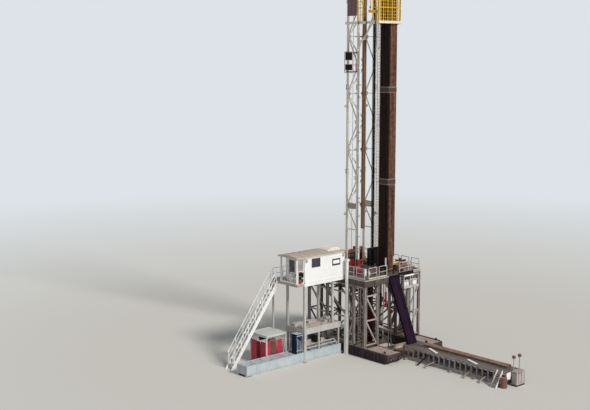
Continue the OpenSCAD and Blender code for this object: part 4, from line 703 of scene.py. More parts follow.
# %% Doghouse doors and windows
DOOR_Y, DOOR_W, DOOR_H = 0.5, 0.43, 1.02
bm, glass, iron = bmesh.new(), bmesh.new(), bmesh.new()
for wall in (DOG_LO[0], DOG_HI[0] - 0.05):
    y0, y1 = DOOR_Y - DOOR_W - 0.02, DOOR_Y - 0.02
    x0 = wall - 0.045
    for frame_y in (DOOR_Y - 0.012, DOOR_Y + DOOR_W + 0.012):
        bar(bm, (wall - 0.006, frame_y, FLOOR_Z), (wall - 0.006, frame_y, FLOOR_Z + DOOR_H), 0.012,
            0.04)
    bar(bm, (wall - 0.006, DOOR_Y - 0.03, FLOOR_Z + DOOR_H),
        (wall - 0.006, DOOR_Y + DOOR_W + 0.03, FLOOR_Z + DOOR_H), 0.012, 0.04)
    block(bm, (x0 - 0.01, y0, FLOOR_Z + 0.03), (x0 + 0.01, y1, FLOOR_Z + 0.62))
    block(bm, (x0 - 0.01, y0, FLOOR_Z + 0.92), (x0 + 0.01, y1, FLOOR_Z + DOOR_H - 0.01))
    for y in (y0 + 0.04, y1 - 0.04):
        block(bm, (x0 - 0.01, y - 0.04, FLOOR_Z + 0.62), (x0 + 0.01, y + 0.04, FLOOR_Z + 0.92))
    block(glass, (x0 - 0.003, y0 + 0.08, FLOOR_Z + 0.62), (x0 + 0.003, y1 - 0.08, FLOOR_Z + 0.92))
    for z in (FLOOR_Z + 0.15, FLOOR_Z + 0.88):
        bar(iron, (x0 - 0.014, y1 - 0.14, z), (x0 - 0.014, y1 + 0.03, z), 0.008, 0.03)
        tube(iron, [(x0, y1 + 0.012, z - 0.025), (x0, y1 + 0.012, z + 0.025)], 0.012, 8)
    tube(iron, pipe_run([(x0, y0 + 0.05, FLOOR_Z + 0.5), (x0 - 0.04, y0 + 0.05, FLOOR_Z + 0.5),
                         (x0 - 0.04, y0 + 0.12, FLOOR_Z + 0.5)], 0.015), 0.008, 8)
x0, y0, y1, z0, z1 = DOG_HI[0] + SIT, 0.02, 0.02 + 0.36, 4.35, 4.75
block(glass, (x0 - 0.004, y0, z0), (x0 + 0.004, y1, z1))
for a, b in (((y0, z0), (y1, z0)), ((y0, z1), (y1, z1)), ((y0, z0), (y0, z1)),
             ((y1, z0), (y1, z1))):
    bar(bm, (x0, *a), (x0, *b), 0.016, 0.03)
paint_piece("doghouse_doors", bm, "white_panel", edge=0.003)
make("doghouse_glass", glass, window_glass)
make("doghouse_ironmongery", iron, bolt_steel)

# %% [markdown]
# The roof is one bowed sheet. Folded seams run over it, a drip strip closes its edge, and
# an air conditioner sits low at its right-hand end under a rounded cover. Lamps in
# guarded glass light the porch and the floor.

# %% Roof, lamps
ROOF_LO, ROOF_HI = span("doghouse_roof")
bm = bmesh.new()
W = ROOF_HI[1] - ROOF_LO[1]
ROOF_EDGE, RISE_MID = 5.045, 0.07
BOW = (W * W / 4 + RISE_MID ** 2) / (2 * RISE_MID)


def roof_z(y):
    """Height of the bowed sheet at y."""
    return ROOF_EDGE + RISE_MID - BOW + math.sqrt(BOW * BOW - (y - ROOF_LO[1] - W / 2) ** 2)


for i in range(8):
    x = ROOF_LO[0] + 0.04 + i * (ROOF_HI[0] - ROOF_LO[0] - 0.08) / 7
    steps = [ROOF_LO[1] + k * W / 12 for k in range(13)]
    tops = [(x, y, roof_z(y) + 0.004) for y in steps]
    for a, b in zip(tops, tops[1:]):
        bar(bm, a, b, 0.022, 0.02)
for y in (ROOF_LO[1] - 0.006, ROOF_HI[1] + 0.006):
    bar(bm, (ROOF_LO[0], y, 5.02), (ROOF_HI[0], y, 5.02), 0.014, 0.055)
paint_piece("roof_seams", bm, "tan_roof", edge=0.003)
bm = bmesh.new()
COVER_X, COVER_Z, COVER_HALF, COVER_RISE, COVER_Y = -2.45, 5.09, 0.42, 0.16, (0.06, 0.74)


def cover_point(turn, y):
    """A point on the rounded cover, from its left edge (0) over the top to its right edge (pi)."""
    return (COVER_X - COVER_HALF * math.cos(turn), y, COVER_Z + COVER_RISE * math.sin(turn))


for k in range(1, 13):
    a = math.pi * k / 12
    p = [cover_point(t, y) for t in (a - math.pi / 12, a) for y in COVER_Y]
    bm.faces.new([bm.verts.new(p[i]) for i in (0, 1, 3, 2)])
for y in COVER_Y:
    bm.faces.new([bm.verts.new(cover_point(math.pi * k / 12, y)) for k in range(13)])
bmesh.ops.remove_doubles(bm, verts=bm.verts, dist=0.0005)
for k in range(7):
    bar(bm, (-2.7 + k * 0.08, 0.055, 5.12), (-2.7 + k * 0.08, 0.055, 5.2), 0.03, 0.012)
paint_piece("roof_air_conditioner", bm, "mast_paint", soft=40)

bm, glass = bmesh.new(), bmesh.new()
LAMPS = [((DOG_LO[0] + 0.1, FRONT, 4.9), (0, -1, -0.5)),
         ((DOG_HI[0] - 0.1, FRONT, 4.9), (0, -1, -0.5)),
         ((DOG_LO[0] - 0.02, 0.2, 4.9), (-1, 0, -0.5)),
         ((-LEG_X, LEG_FRONT - 0.09, 6.6), (0, -1, -0.7)),
         ((LEG_X, LEG_FRONT - 0.09, 6.6), (0, -1, -0.7)),
         ((-LEG_X - 0.09, LEG_BACK, 6.6), (-1, 0, -0.7)),
         ((LEG_X + 0.09, LEG_BACK, 6.6), (1, 0, -0.7)),
         ((-LEG_X - 0.09, LEG_BACK, 11.9), (-1, 0, -0.7)),
         ((LEG_X + 0.09, LEG_BACK, 11.9), (1, 0, -0.7)),
         ((LEG_X, LEG_BACK + 0.09, 19.9), (0, 1, -0.7)),
         ((-LEG_X, LEG_BACK + 0.09, 19.9), (0, 1, -0.7)),
         ((-1.99, -0.37, 4.64), (0.6, -0.6, -0.5))]
for at, look in LAMPS:
    turned(bm, [(0.03, -0.05), (0.055, -0.03), (0.06, 0.05), (0.07, 0.06)], at, look, 16)
    turned(glass, [(0.055, 0.061), (0.05, 0.085), (0.03, 0.1), (0.0, 0.105)], at, look, 16)
    side, over, along = axes_along(look)
    for k in range(4):
        reach = side * math.cos(k * math.pi / 4) + over * math.sin(k * math.pi / 4)
        guard = [Vector(at) + along * 0.06 + reach * 0.066,
                 Vector(at) + along * 0.115 + reach * 0.03,
                 Vector(at) + along * 0.115 - reach * 0.03,
                 Vector(at) + along * 0.06 - reach * 0.066]
        tube(bm, guard, 0.003, 5)
paint_piece("lamp_housings", bm, "rail_paint")
make("lamp_lenses", glass, lamp_glass)

# %% [markdown]
# Each handrail panel drops into sockets on the floor's edge, so that it lifts out when a load comes
# over. Beside the ramp stand two posts that stop the pipe as it swings in, with pale heads that
# show from afar. A black plate covers the floor beam's face right of the ramp.

# %% Rail sockets, stop posts and black plate
RAIL_PANEL, RAIL_SPACE, RAIL_IN = 0.56, 0.14, 0.026


def panel_posts(a, b):
    """Where the posts of a run of handrail panels stand."""
    n = max(1, round((b - a + RAIL_SPACE) / (RAIL_PANEL + RAIL_SPACE)))
    w = (b - a + RAIL_SPACE) / n - RAIL_SPACE
    return [a + i * (w + RAIL_SPACE) + k for i in range(n) for k in (0.013, w - 0.013)]


bm = bmesh.new()
for a, b in ((-1.70, -0.44), (0.44, 1.89)):
    for x in panel_posts(a, b):
        block(bm, (x - 0.024, FLOOR_FRONT + RAIL_IN - 0.024, FLOOR_Z),
              (x + 0.024, FLOOR_FRONT + RAIL_IN + 0.024, FLOOR_Z + 0.05))
for x in panel_posts(-1.89, 1.89):
    block(bm, (x - 0.024, FLOOR_BACK - RAIL_IN - 0.024, FLOOR_Z),
          (x + 0.024, FLOOR_BACK - RAIL_IN + 0.024, FLOOR_Z + 0.05))
for side, a, b in ((-1, -1.49, -0.21), (-1, 1.655, 2.39), (1, -1.49, 2.39)):
    x = side * (FLOOR_SIDE - RAIL_IN)
    for y in panel_posts(a, b):
        block(bm, (x - 0.024, y - 0.024, FLOOR_Z), (x + 0.024, y + 0.024, FLOOR_Z + 0.05))
paint_piece("rail_sockets", bm, "frame_paint", edge=0.003)

bm, heads = bmesh.new(), bmesh.new()
for x in (-0.28, 0.28):
    turned(bm, [(0.034, 0), (0.034, 0.42)], (x, -1.28, FLOOR_Z + 0.012), (0, 0, 1), 16)
    block(bm, (x - 0.07, -1.35, FLOOR_Z), (x + 0.07, -1.21, FLOOR_Z + 0.014))
    for dx in (-0.05, 0.05):
        for dy in (-0.05, 0.05):
            bolt(bm, (x + dx, -1.28 + dy, FLOOR_Z + 0.014), (0, 0, 1), 0.009)
    turned(heads, [(0.04, 0), (0.04, 0.4), (0.034, 0.415), (0.0, 0.42)],
           (x, -1.28, FLOOR_Z + 0.432), (0, 0, 1), 16)
# A black plate with stiffeners on the floor beam's face right of the ramp
block(bm, (0.34, -1.566, 3.62), (1.42, -1.552, 3.87))
for i in range(6):
    x = 0.42 + i * 0.184
    block(bm, (x, -1.578, 3.64), (x + 0.014, -1.566, 3.86))
paint_piece("ramp_stop_posts_and_black_plate", bm, "black_paint", edge=0.003)
paint_piece("stop_post_heads", heads, "rail_paint")

# %% [markdown]
# The drawworks hoists the travelling block. Its drum is wound with wire rope in neat
# wraps, which is a turned outline with a half round for each wrap. Brake calipers grip the
# discs, guards cover the chain, and the motors have cooling ribs and junction boxes.

# %% Drawworks details
DRUM_Y, DRUM_Z = 1.56, 4.29
wraps, outline = 34, []
for i in range(wraps):
    left = -0.305 + i * 0.61 / wraps
    for k in range(5):
        a = math.pi * k / 4
        outline.append((0.213 + 0.009 * math.sin(a), left + 0.009 - 0.009 * math.cos(a)))
bm = bmesh.new()
turned(bm, outline, (0, DRUM_Y, DRUM_Z), (1, 0, 0), 40)
make("drum_rope_wraps", bm, rope_steel, soft=60)

bm, iron = bmesh.new(), bmesh.new()
for side in (-1, 1):
    x = side * 0.42
    turned(iron, [(0.1, 0), (0.1, 0.02), (0.07, 0.03), (0.07, 0.05)],
           (x + side * 0.03, DRUM_Y, DRUM_Z), (side, 0, 0), 24)
    bolt_ring(iron, (x + side * 0.05, DRUM_Y, DRUM_Z), (side, 0, 0), 0.085, 8, 0.009)
    for k in range(9):
        a = math.pi * k / 8
        bolt(iron, (x + side * 0.03, DRUM_Y + 0.235 * math.cos(a), DRUM_Z + 0.235 * math.sin(a)),
             (side, 0, 0), 0.008)
    for turn in (0.35, math.pi - 0.35):
        y, z = DRUM_Y + 0.23 * math.cos(turn), DRUM_Z + 0.23 * math.sin(turn)
        block(bm, (side * 0.53 - 0.05, y - 0.06, z - 0.05),
              (side * 0.53 + 0.05, y + 0.06, z + 0.06))
        bar(bm, (side * 0.53, y, z), (side * 0.45, y, FLOOR_Z + 0.11), 0.03)
for y in (1.41, 1.71):
    for k in range(9):
        turned(bm, [(0.136, 0), (0.146, 0), (0.146, 0.012), (0.136, 0.012)],
               (-0.93 + k * 0.04, y, 4.10), (1, 0, 0), 28)
    block(bm, (-0.86, y - 0.06, 4.24), (-0.72, y + 0.06, 4.32))
    turned(iron, [(0.1, 0), (0.1, 0.02), (0.04, 0.03)], (-0.97, y, 4.10), (-1, 0, 0), 20)
block(bm, (0.53, 1.335, 4.68), (0.93, 1.785, 4.70))
for x in (0.6, 0.7, 0.8):
    tube(bm, pipe_run([(x, 1.32, 4.45), (x, 1.27, 4.45), (x, 1.27, 3.95)], 0.03), 0.012, 8)
block(bm, (-0.38, 1.215, 3.93), (0.38, 1.23, 4.2))
for k in range(7):
    a, b = [math.radians(35 + (k + j) * 15) for j in (0, 1)]
    p, q = [(DRUM_Y + 0.33 * math.cos(t), DRUM_Z + 0.33 * math.sin(t)) for t in (a, b)]
    bar(bm, (0, *p), (0, *q), 0.7, 0.01)
paint_piece("drawworks_guards_and_brakes", bm, "red_paint", edge=0.003)
make("drawworks_bolts", iron, bolt_steel)

# %% [markdown]
# The gear on the floor is heavy. Slips sit in the rotary table, the iron roughneck makes
# up the joints, air winches lift loads, and a console with dials stands at the left. All
# of it is stout cast and welded steel in chipped enamel. It stands where the photograph
# shows red, brown and white shapes behind the rails.

# %% Slips, roughneck, console
rusted_steel = painted_steel("rusty_brown_steel", "#6d4a40", "#8a6358", rough=0.7, grime=0.5,
                             chips=0.5, dust=0.3)
bm = bmesh.new()
for k in range(3):
    a = k * 2 * math.pi / 3
    reach = Vector((math.cos(a), math.sin(a), 0))
    foot = Vector((0, 0, 3.88)) + reach * 0.1
    tube(bm, pipe_run([foot, foot + Vector((0, 0, 0.1)) + reach * 0.05,
                       foot + Vector((0, 0, 0.16)) + reach * 0.16,
                       foot + Vector((0, 0, 0.12)) + reach * 0.2], 0.03), 0.011, 8)
turned(bm, [(0.075, 0), (0.11, 0.02), (0.125, 0.06), (0.09, 0.065), (0.07, 0.02)], (0, 0, 3.88),
       (0, 0, 1), 30)
bolt_ring(bm, (0, 0, 3.88), (0, 0, 1), 0.25, 12, 0.01)
make("rotary_slips", bm, bare_steel)

bm, dark = bmesh.new(), bmesh.new()
rx, ry = -0.78, 0.12
block(bm, (rx - 0.16, ry - 0.13, FLOOR_Z), (rx + 0.16, ry + 0.13, FLOOR_Z + 0.04))
block(bm, (rx - 0.07, ry - 0.07, FLOOR_Z + 0.04), (rx + 0.07, ry + 0.07, FLOOR_Z + 0.62))
for z in (0.3, 0.52):
    block(dark, (rx - 0.09, ry - 0.09, FLOOR_Z + z), (rx + 0.09, ry + 0.09, FLOOR_Z + z + 0.07))
    bar(bm, (rx + 0.07, ry, FLOOR_Z + z + 0.035), (rx + 0.32, ry - 0.03, FLOOR_Z + z + 0.035),
        0.06)
    turned(dark, [(0.05, 0), (0.1, 0), (0.1, 0.09), (0.05, 0.09)],
           (rx + 0.4, ry - 0.03, FLOOR_Z + z), (0, 0, 1), 20)
for side in (-1, 1):
    tube(bm, [(rx + 0.08, ry + side * 0.05, FLOOR_Z + 0.12),
              (rx + 0.3, ry + side * 0.05, FLOOR_Z + 0.5)], 0.022, 10)
paint_piece("iron_roughneck", bm, "red_paint", edge=0.004)

bm, dials, glass = bmesh.new(), bmesh.new(), bmesh.new()
cx, cy = -1.28, -0.36
block(bm, (cx - 0.16, cy - 0.1, FLOOR_Z), (cx + 0.16, cy + 0.1, FLOOR_Z + 0.26))
slope = [(cy - 0.12, 0.26), (cy + 0.12, 0.26), (cy + 0.12, 0.42), (cy + 0.04, 0.42)]
ends = [[bm.verts.new((cx + s * 0.18, y, FLOOR_Z + z)) for y, z in slope] for s in (-1, 1)]
bm.faces.new(ends[0])
bm.faces.new(ends[1][::-1])
for i in range(4):
    bm.faces.new((ends[0][i], ends[1][i], ends[1][(i + 1) % 4], ends[0][(i + 1) % 4]))
for i in range(4):
    at = Vector((cx - 0.12 + i * 0.08, cy - 0.045, FLOOR_Z + 0.335))
    turned(dials, [(0.028, 0), (0.03, 0.012), (0.024, 0.014), (0.024, 0.008)], at, (0, -0.7, 0.7),
           20)
    turned(glass, [(0.024, 0.009), (0.012, 0.012), (0.0, 0.013)], at, (0, -0.7, 0.7), 20)
    tube(dials, [(cx - 0.13 + i * 0.085, cy - 0.11, FLOOR_Z + 0.27),
                 (cx - 0.13 + i * 0.085, cy - 0.13, FLOOR_Z + 0.33)], 0.006, 6)
# The console's crimson is painted darker, as painted shade
make("driller_console", bm, painted_steel("crimson_enamel_darkened_as_painted_shade", "#82183a", "#962c4a",
                                          grime=0.4), edge=0.004)
make("console_dials", dials, bolt_steel)
make("console_glass", glass, window_glass)

# %% [markdown]
# Round the well stand air winches, tool chests, grease drums and short lengths of pipe.
# They are modelled one by one from the same few moves as the rest.

# %% Winches, chests and tools
bm = bmesh.new()


def air_winch(bm, at, turn):
    """A small winch: two cheeks, a drum with its rope, a motor and a level guard."""
    local = Matrix.Translation(at) @ Matrix.Rotation(math.radians(turn), 4, "Z")
    start = len(bm.verts)
    block(bm, (-0.17, -0.12, 0.0), (0.17, 0.12, 0.03))
    for x in (-0.12, 0.09):
        turned(bm, [(0.12, 0), (0.12, 0.018), (0.105, 0.022)], (x, 0, 0.15), (1, 0, 0), 24)
    outline = [(0.075 + 0.006 * (i % 2), -0.1 + i * 0.0095) for i in range(20)]
    turned(bm, outline, (0, 0, 0.15), (1, 0, 0), 20)
    turned(bm, [(0.06, 0), (0.065, 0.01), (0.065, 0.08), (0.03, 0.1)], (0.11, 0, 0.15), (1, 0, 0),
           18)
    for y in (-0.11, 0.11):
        bar(bm, (-0.14, y, 0.03), (-0.14, y * 0.7, 0.29), 0.018)
        bar(bm, (0.12, y, 0.03), (0.12, y * 0.7, 0.29), 0.018)
        bar(bm, (-0.14, y * 0.7, 0.285), (0.12, y * 0.7, 0.285), 0.018)
    bm.verts.ensure_lookup_table()
    for v in bm.verts[start:]:
        v.co = local @ v.co


for at, turn in (((1.55, -0.3, FLOOR_Z), 90), ((-1.6, 2.05, FLOOR_Z), 0),
                 ((1.55, 2.05, FLOOR_Z), 180)):
    air_winch(bm, at, turn)
paint_piece("air_winches", bm, "yellow_paint")

bm = bmesh.new()
for x0, y0, w, d, h in ((0.86, -1.42, 0.3, 0.22, 0.16), (1.22, -1.36, 0.34, 0.26, 0.24),
                        (0.84, -1.1, 0.26, 0.3, 0.3), (1.2, -1.02, 0.24, 0.22, 0.38),
                        (1.56, -1.28, 0.26, 0.4, 0.2), (1.52, -0.8, 0.3, 0.3, 0.28)):
    block(bm, (x0, y0, FLOOR_Z + 0.03), (x0 + w, y0 + d, FLOOR_Z + h))
    block(bm, (x0 - 0.008, y0 - 0.008, FLOOR_Z + h - 0.05),
          (x0 + w + 0.008, y0 + d + 0.008, FLOOR_Z + h - 0.015))
    for x in (x0 + 0.03, x0 + w - 0.03):
        bar(bm, (x, y0, FLOOR_Z + 0.015), (x, y0 + d, FLOOR_Z + 0.015), 0.04, 0.03)
    tube(bm, pipe_run([(x0 + w / 2 - 0.05, y0 - 0.008, FLOOR_Z + h * 0.6),
                       (x0 + w / 2 - 0.05, y0 - 0.035, FLOOR_Z + h * 0.6),
                       (x0 + w / 2 + 0.05, y0 - 0.035, FLOOR_Z + h * 0.6),
                       (x0 + w / 2 + 0.05, y0 - 0.008, FLOOR_Z + h * 0.6)], 0.01), 0.006, 6)
make("tool_chests", bm, painted_steel("mauve_dust_on_brown_enamel", "#8a6a62", "#ab8a80",
                                      rough=0.7, grime=0.6, chips=0.4, dust=0.1),
     edge=0.004)
# A black steel sheet stands at the foot of the ladder and the leg behind it
bm = bmesh.new()
block(bm, (0.47, 0.282, FLOOR_Z + 0.07), (0.93, 0.29, FLOOR_Z + 1.05))
for x in (0.47, 0.70, 0.91):
    block(bm, (x, 0.262, FLOOR_Z), (x + 0.025, 0.282, FLOOR_Z + 1.05))
for z in (0.3, 0.62, 1.02):
    block(bm, (0.47, 0.266, FLOOR_Z + z), (0.935, 0.282, FLOOR_Z + z + 0.03))
paint_piece("black_sheet_by_leg", bm, "black_paint", edge=0.003)

bm = bmesh.new()
for x, y, r, h in ((-1.12, -0.72, 0.075, 0.3), (-0.96, -0.84, 0.05, 0.18)):
    turned(bm, [(r, 0), (r * 1.04, 0.01), (r, 0.02), (r, h * 0.33), (r * 1.04, h * 0.35),
                (r, h * 0.37), (r, h * 0.95), (r * 1.05, h), (r * 0.9, h), (r * 0.9, h - 0.01),
                (0.0, h - 0.01)], (x, y, FLOOR_Z + SIT), (0, 0, 1), 24)
paint_piece("grease_drums", bm, "white_panel")

bm = bmesh.new()
# Crossover subs, an elevator and short pipes on the empty setback left of the well
for x, y, r, h in ((-0.62, -0.92, 0.04, 0.24), (-0.5, -0.84, 0.045, 0.3),
                   (-0.36, -0.92, 0.04, 0.2), (-0.24, -0.8, 0.045, 0.26)):
    turned(bm, [(r * 0.7, 0), (r, 0.02), (r, h * 0.4), (r * 0.75, h * 0.45), (r * 0.75, h * 0.9),
                (r * 0.5, h)], (x, y, FLOOR_Z + 0.032), (0, 0, 1), 20)
for y in (-0.62, -0.53, -0.44):
    tube(bm, [(-0.66, y, FLOOR_Z + 0.065), (-0.14, y + 0.01, FLOOR_Z + 0.065)], 0.033, 14)
turned(bm, [(0.07, 0), (0.12, 0.0), (0.12, 0.12), (0.07, 0.12)], (-0.85, -0.62, FLOOR_Z + SIT),
       (0, 0, 1), 24)
make("subs_and_elevator", bm, rusted_steel)

bm = bmesh.new()
bx, by = 1.36, -0.74
tube(bm, [(bx, by, FLOOR_Z), (bx, by, FLOOR_Z + 0.5)], 0.022, 10)
for side, look in ((-1, 0.3), (1, -0.5)):
    hub = Vector((bx, by, FLOOR_Z + 0.42))
    tip = hub + Vector((side * 0.16, look * 0.3, 0.02))
    bar(bm, hub, tip, 0.05, 0.07)
    turned(bm, [(0.045, 0), (0.075, 0), (0.075, 0.07), (0.045, 0.07)], tip - Vector((0, 0, 0.03)),
           (0, 0, 1), 18)
block(bm, (bx - 0.05, by - 0.05, FLOOR_Z + 0.46), (bx + 0.05, by + 0.05, FLOOR_Z + 0.54))
make("power_tong", bm, painted_steel("plum_enamel_on_cast_steel", "#5a2440", "#74364f", grime=0.4),
     edge=0.004)

# %% [markdown]
# The mast's legs come in lengths short enough to move. They are pinned together at the
# splices, with a headed pin and a keeper through each sleeve, and the braces are bolted or
# welded to gusset plates. The feet stand in shoes with a big hinge pin, on which the whole
# mast is raised. These pins are turned parts, so each is one outline spun round its axis.

# %% Splice pins, gusset bolts, mast feet
SPLICES = (1, 4, 7, 10, 13)
bm, feet = bmesh.new(), bmesh.new()
for sx in (-1, 1):
    for y in (LEG_FRONT, LEG_BACK):
        for i in SPLICES:
            z = NODE_Z[i] + 0.19
            for dz in (0.06, 0.2):
                turned(bm, [(0.028, 0), (0.028, 0.012), (0.018, 0.014), (0.018, 0.028),
                            (0.012, 0.032)], (sx * (LEG_X + 0.063), y, z + dz), (sx, 0, 0), 14)
                for sy in (-1, 1):
                    bolt(bm, (sx * LEG_X, y + sy * 0.063, z + dz), (0, sy, 0), 0.014)
            bar(bm, (sx * (LEG_X + 0.066), y + 0.036, z + 0.02),
                (sx * (LEG_X + 0.066), y + 0.036, z + 0.24), 0.008, 0.02)
        block(feet, (sx * LEG_X - 0.085, y - 0.085, 3.858), (sx * LEG_X + 0.085, y + 0.085, 3.875))
        for dy in (-0.058, 0.058):
            block(feet, (sx * LEG_X - 0.06, y + dy - 0.012, 3.87),
                  (sx * LEG_X + 0.06, y + dy + 0.012, 4.03))
        turned(bm, [(0.045, 0), (0.045, 0.012), (0.03, 0.014), (0.03, 0.2), (0.045, 0.202),
                    (0.045, 0.214)], (sx * LEG_X, y - 0.107, 3.97), (0, 1, 0), 18)
        for dx in (-0.068, 0.068):
            for dy in (-0.068, 0.068):
                bolt(bm, (sx * LEG_X + dx, y + dy, 3.875), (0, 0, 1), 0.012)
    for i in range(1, 14):
        a, d = (LEG_BACK, -1) if i % 2 == 0 else (LEG_FRONT, 1)
        for k in (0.075, 0.13):
            for dz in (-0.05, 0.05):
                bolt(bm, (sx * (LEG_X + 0.008), a + d * k, NODE_Z[i] + dz * (2.2 - k * 8)),
                     (sx, 0, 0), 0.009)
        s = -1 if i % 2 == 0 else 1
        for k, dz in ((0.05, 0.06), (0.05, -0.06), (0.1, 0.0)):
            bolt(bm, (s * (0.555 - k), LEG_BACK + 0.008, NODE_Z[i] + dz), (0, 1, 0), 0.009)
make("mast_pins_and_bolts", bm, bolt_steel)
paint_piece("mast_foot_lugs", feet, "base_steel", edge=0.004)

# %% [markdown]
# Between the first brace and the open portal sits a deep haunch plate with flanges and
# stiffeners. It keeps the portal square when the mast is under load. Up the off side runs
# a dark cable tray, and the guide rail is clamped and spliced at every other brace.

# %% Haunches, cable tray, guide rail clamps
bm = bmesh.new()
for sx in (-1, 1):
    x = sx * LEG_X
    low = [(LEG_FRONT + 0.05, 6.90), (LEG_BACK - 0.05, 6.87)]
    high = [(LEG_FRONT + 0.05, 7.09), (LEG_BACK - 0.05, 7.13)]
    for row in (low, high):
        bar(bm, (x, *row[0]), (x, *row[1]), 0.012, 0.075)
    for k in range(5):
        u = 0.08 + k * 0.21
        y = low[0][0] + u * (low[1][0] - low[0][0])
        bar(bm, (x, y, 6.89), (x, y, 7.1), 0.06, 0.01)
    block(bm, (x + sx * 0.012 - 0.003, LEG_FRONT + 0.05, 6.89),
          (x + sx * 0.012 + 0.003, LEG_BACK - 0.05, 7.1))
paint_piece("mast_haunches", bm, "frame_paint", edge=0.003)

bm, iron = bmesh.new(), bmesh.new()
TRAY_X = 0.528
block(bm, (TRAY_X - 0.026, 0.33, 3.85), (TRAY_X - 0.02, 0.425, 17.3))
for y in (0.33, 0.419):
    block(bm, (TRAY_X - 0.026, y, 3.85), (TRAY_X + 0.02, y + 0.006, 17.3))
for k in range(5):
    y = 0.345 + k * 0.0162
    tube(bm, [(TRAY_X - 0.004, y, 3.84), (TRAY_X - 0.004, y, 17.34)], 0.0078, 8)
for i in range(20):
    z = 4.1 + i * 0.686
    block(iron, (TRAY_X - 0.03, 0.326, z), (0.556, 0.43, z + 0.03))
tube(bm, [(TRAY_X - 0.045, 0.44, 3.85), (TRAY_X - 0.045, 0.44, 16.9)], 0.018, 10)
paint_piece("cable_tray", bm, "black_paint")
make("cable_tray_straps", iron, bolt_steel, edge=0.002)

bm, iron = bmesh.new(), bmesh.new()
for i in range(0, 14, 2):
    z = NODE_Z[i]
    for dz in (-0.09, 0.06):
        block(bm, (-0.1, 0.488, z + dz), (0.1, 0.499, z + dz + 0.04))
        for sx in (-1, 1):
            block(bm, (sx * 0.09 - 0.01, 0.49, z + dz), (sx * 0.09 + 0.01, 0.64, z + dz + 0.04))
            bolt(iron, (sx * 0.065, 0.488, z + dz + 0.02), (0, -1, 0), 0.01)
    for sx in (-1, 1):
        block(bm, (sx * 0.086 - 0.005, 0.52, z + 0.52), (sx * 0.086 + 0.005, 0.6, z + 0.86))
        for dz in (0.57, 0.65, 0.73, 0.81):
            bolt(iron, (sx * 0.091, 0.56, z + dz), (sx, 0, 0), 0.009)
make("guide_rail_clamps", bm, rusted_steel, edge=0.003)
make("guide_rail_bolts", iron, bolt_steel)

# %% [markdown]
# The ladder has a fall-arrest rail up its middle and a rest platform halfway. Behind the
# left back leg hangs a small basket, from which casing is guided, and the standpipe is
# held by U-bolts and closed at its free end with a hammer union.

# %% Ladder gear, stabbing basket, standpipe fittings
bm = bmesh.new()
tube(bm, [(0.82, 0.335, 3.9), (0.82, 0.335, 26.4)], 0.012, 8)
for i in range(17):
    z = 4.2 + i * 1.3
    bar(bm, (0.73, 0.336, z), (0.91, 0.336, z), 0.012, 0.03)
for z in (10.9, 19.1):
    for x in (0.735, 0.815, 0.895):
        bar(bm, (x, 0.38, z), (x, 0.7, z), 0.02)
    for y in (0.40, 0.47, 0.54, 0.61, 0.68):
        bar(bm, (0.65, y, z + 0.015), (0.92, y, z + 0.015), 0.03, 0.008)
    for y in (0.38, 0.7):
        tube(bm, [(0.915, y, z), (0.915, y, z + 0.55)], 0.011, 8)
    for dz in (0.28, 0.55):
        tube(bm, [(0.915, 0.38, z + dz), (0.915, 0.7, z + dz), (0.66, 0.7, z + dz)], 0.011, 8)
paint_piece("mast_ladder_gear", bm, "rail_paint")

bm = bmesh.new()
BX, BY, BZ = (-0.9, -0.665), (0.47, 1.0), (13.5, 14.5)
for x in BX:
    for y in BY:
        tube(bm, [(x, y, BZ[0]), (x, y, BZ[1])], 0.016, 8)
for z in (BZ[0], BZ[0] + 0.12, BZ[0] + 0.4, BZ[0] + 0.6, BZ[1]):
    ring = [(BX[0], BY[0], z), (BX[1], BY[0], z), (BX[1], BY[1], z), (BX[0], BY[1], z),
            (BX[0], BY[0], z)]
    for a, b in zip(ring, ring[1:]):
        bar(bm, a, b, 0.022)
for k in range(6):
    x = BX[0] + 0.01 + k * 0.042
    bar(bm, (x, BY[0], BZ[0]), (x, BY[1], BZ[0]), 0.012, 0.025)
for z in (BZ[0] + 0.05, BZ[1] - 0.05):
    bar(bm, (BX[1], LEG_FRONT, z), (BX[1], LEG_BACK, z), 0.05)
    for y in (LEG_FRONT, LEG_BACK):
        block(bm, (-0.69, y - 0.06, z - 0.04), (-0.643, y + 0.06, z + 0.04))
make("stabbing_basket", bm, painted_steel("pink_primer_on_tube", "#b79a98", "#cbb0ac", grime=0.5,
                                          chips=0.4))
bm = bmesh.new()
for z0, z1 in ((13.62, 13.9), (14.1, 14.48)):
    block(bm, (BX[0] + 0.02, BY[0] + 0.02, z0), (BX[0] + 0.026, BY[1] - 0.02, z1))
paint_piece("basket_screens", bm, "black_paint")
# Above the board a mauve sheet closes the mast's left side against the wind
bm = bmesh.new()
block(bm, (-0.672, LEG_FRONT + 0.04, 16.2), (-0.666, LEG_BACK - 0.02, 17.25))
for k in range(6):
    y = LEG_FRONT + 0.06 + k * 0.115
    bar(bm, (-0.677, y, 16.2), (-0.677, y, 17.25), 0.03, 0.012)
for z in (16.22, 16.72, 17.22):
    bar(bm, (-0.655, LEG_FRONT, z), (-0.655, LEG_BACK, z), 0.03)
make("mast_wind_sheet", bm, painted_steel("mauve_brown_enamel_on_sheet", "#7a6068", "#8f757b",
                                          grime=0.5, chips=0.3))

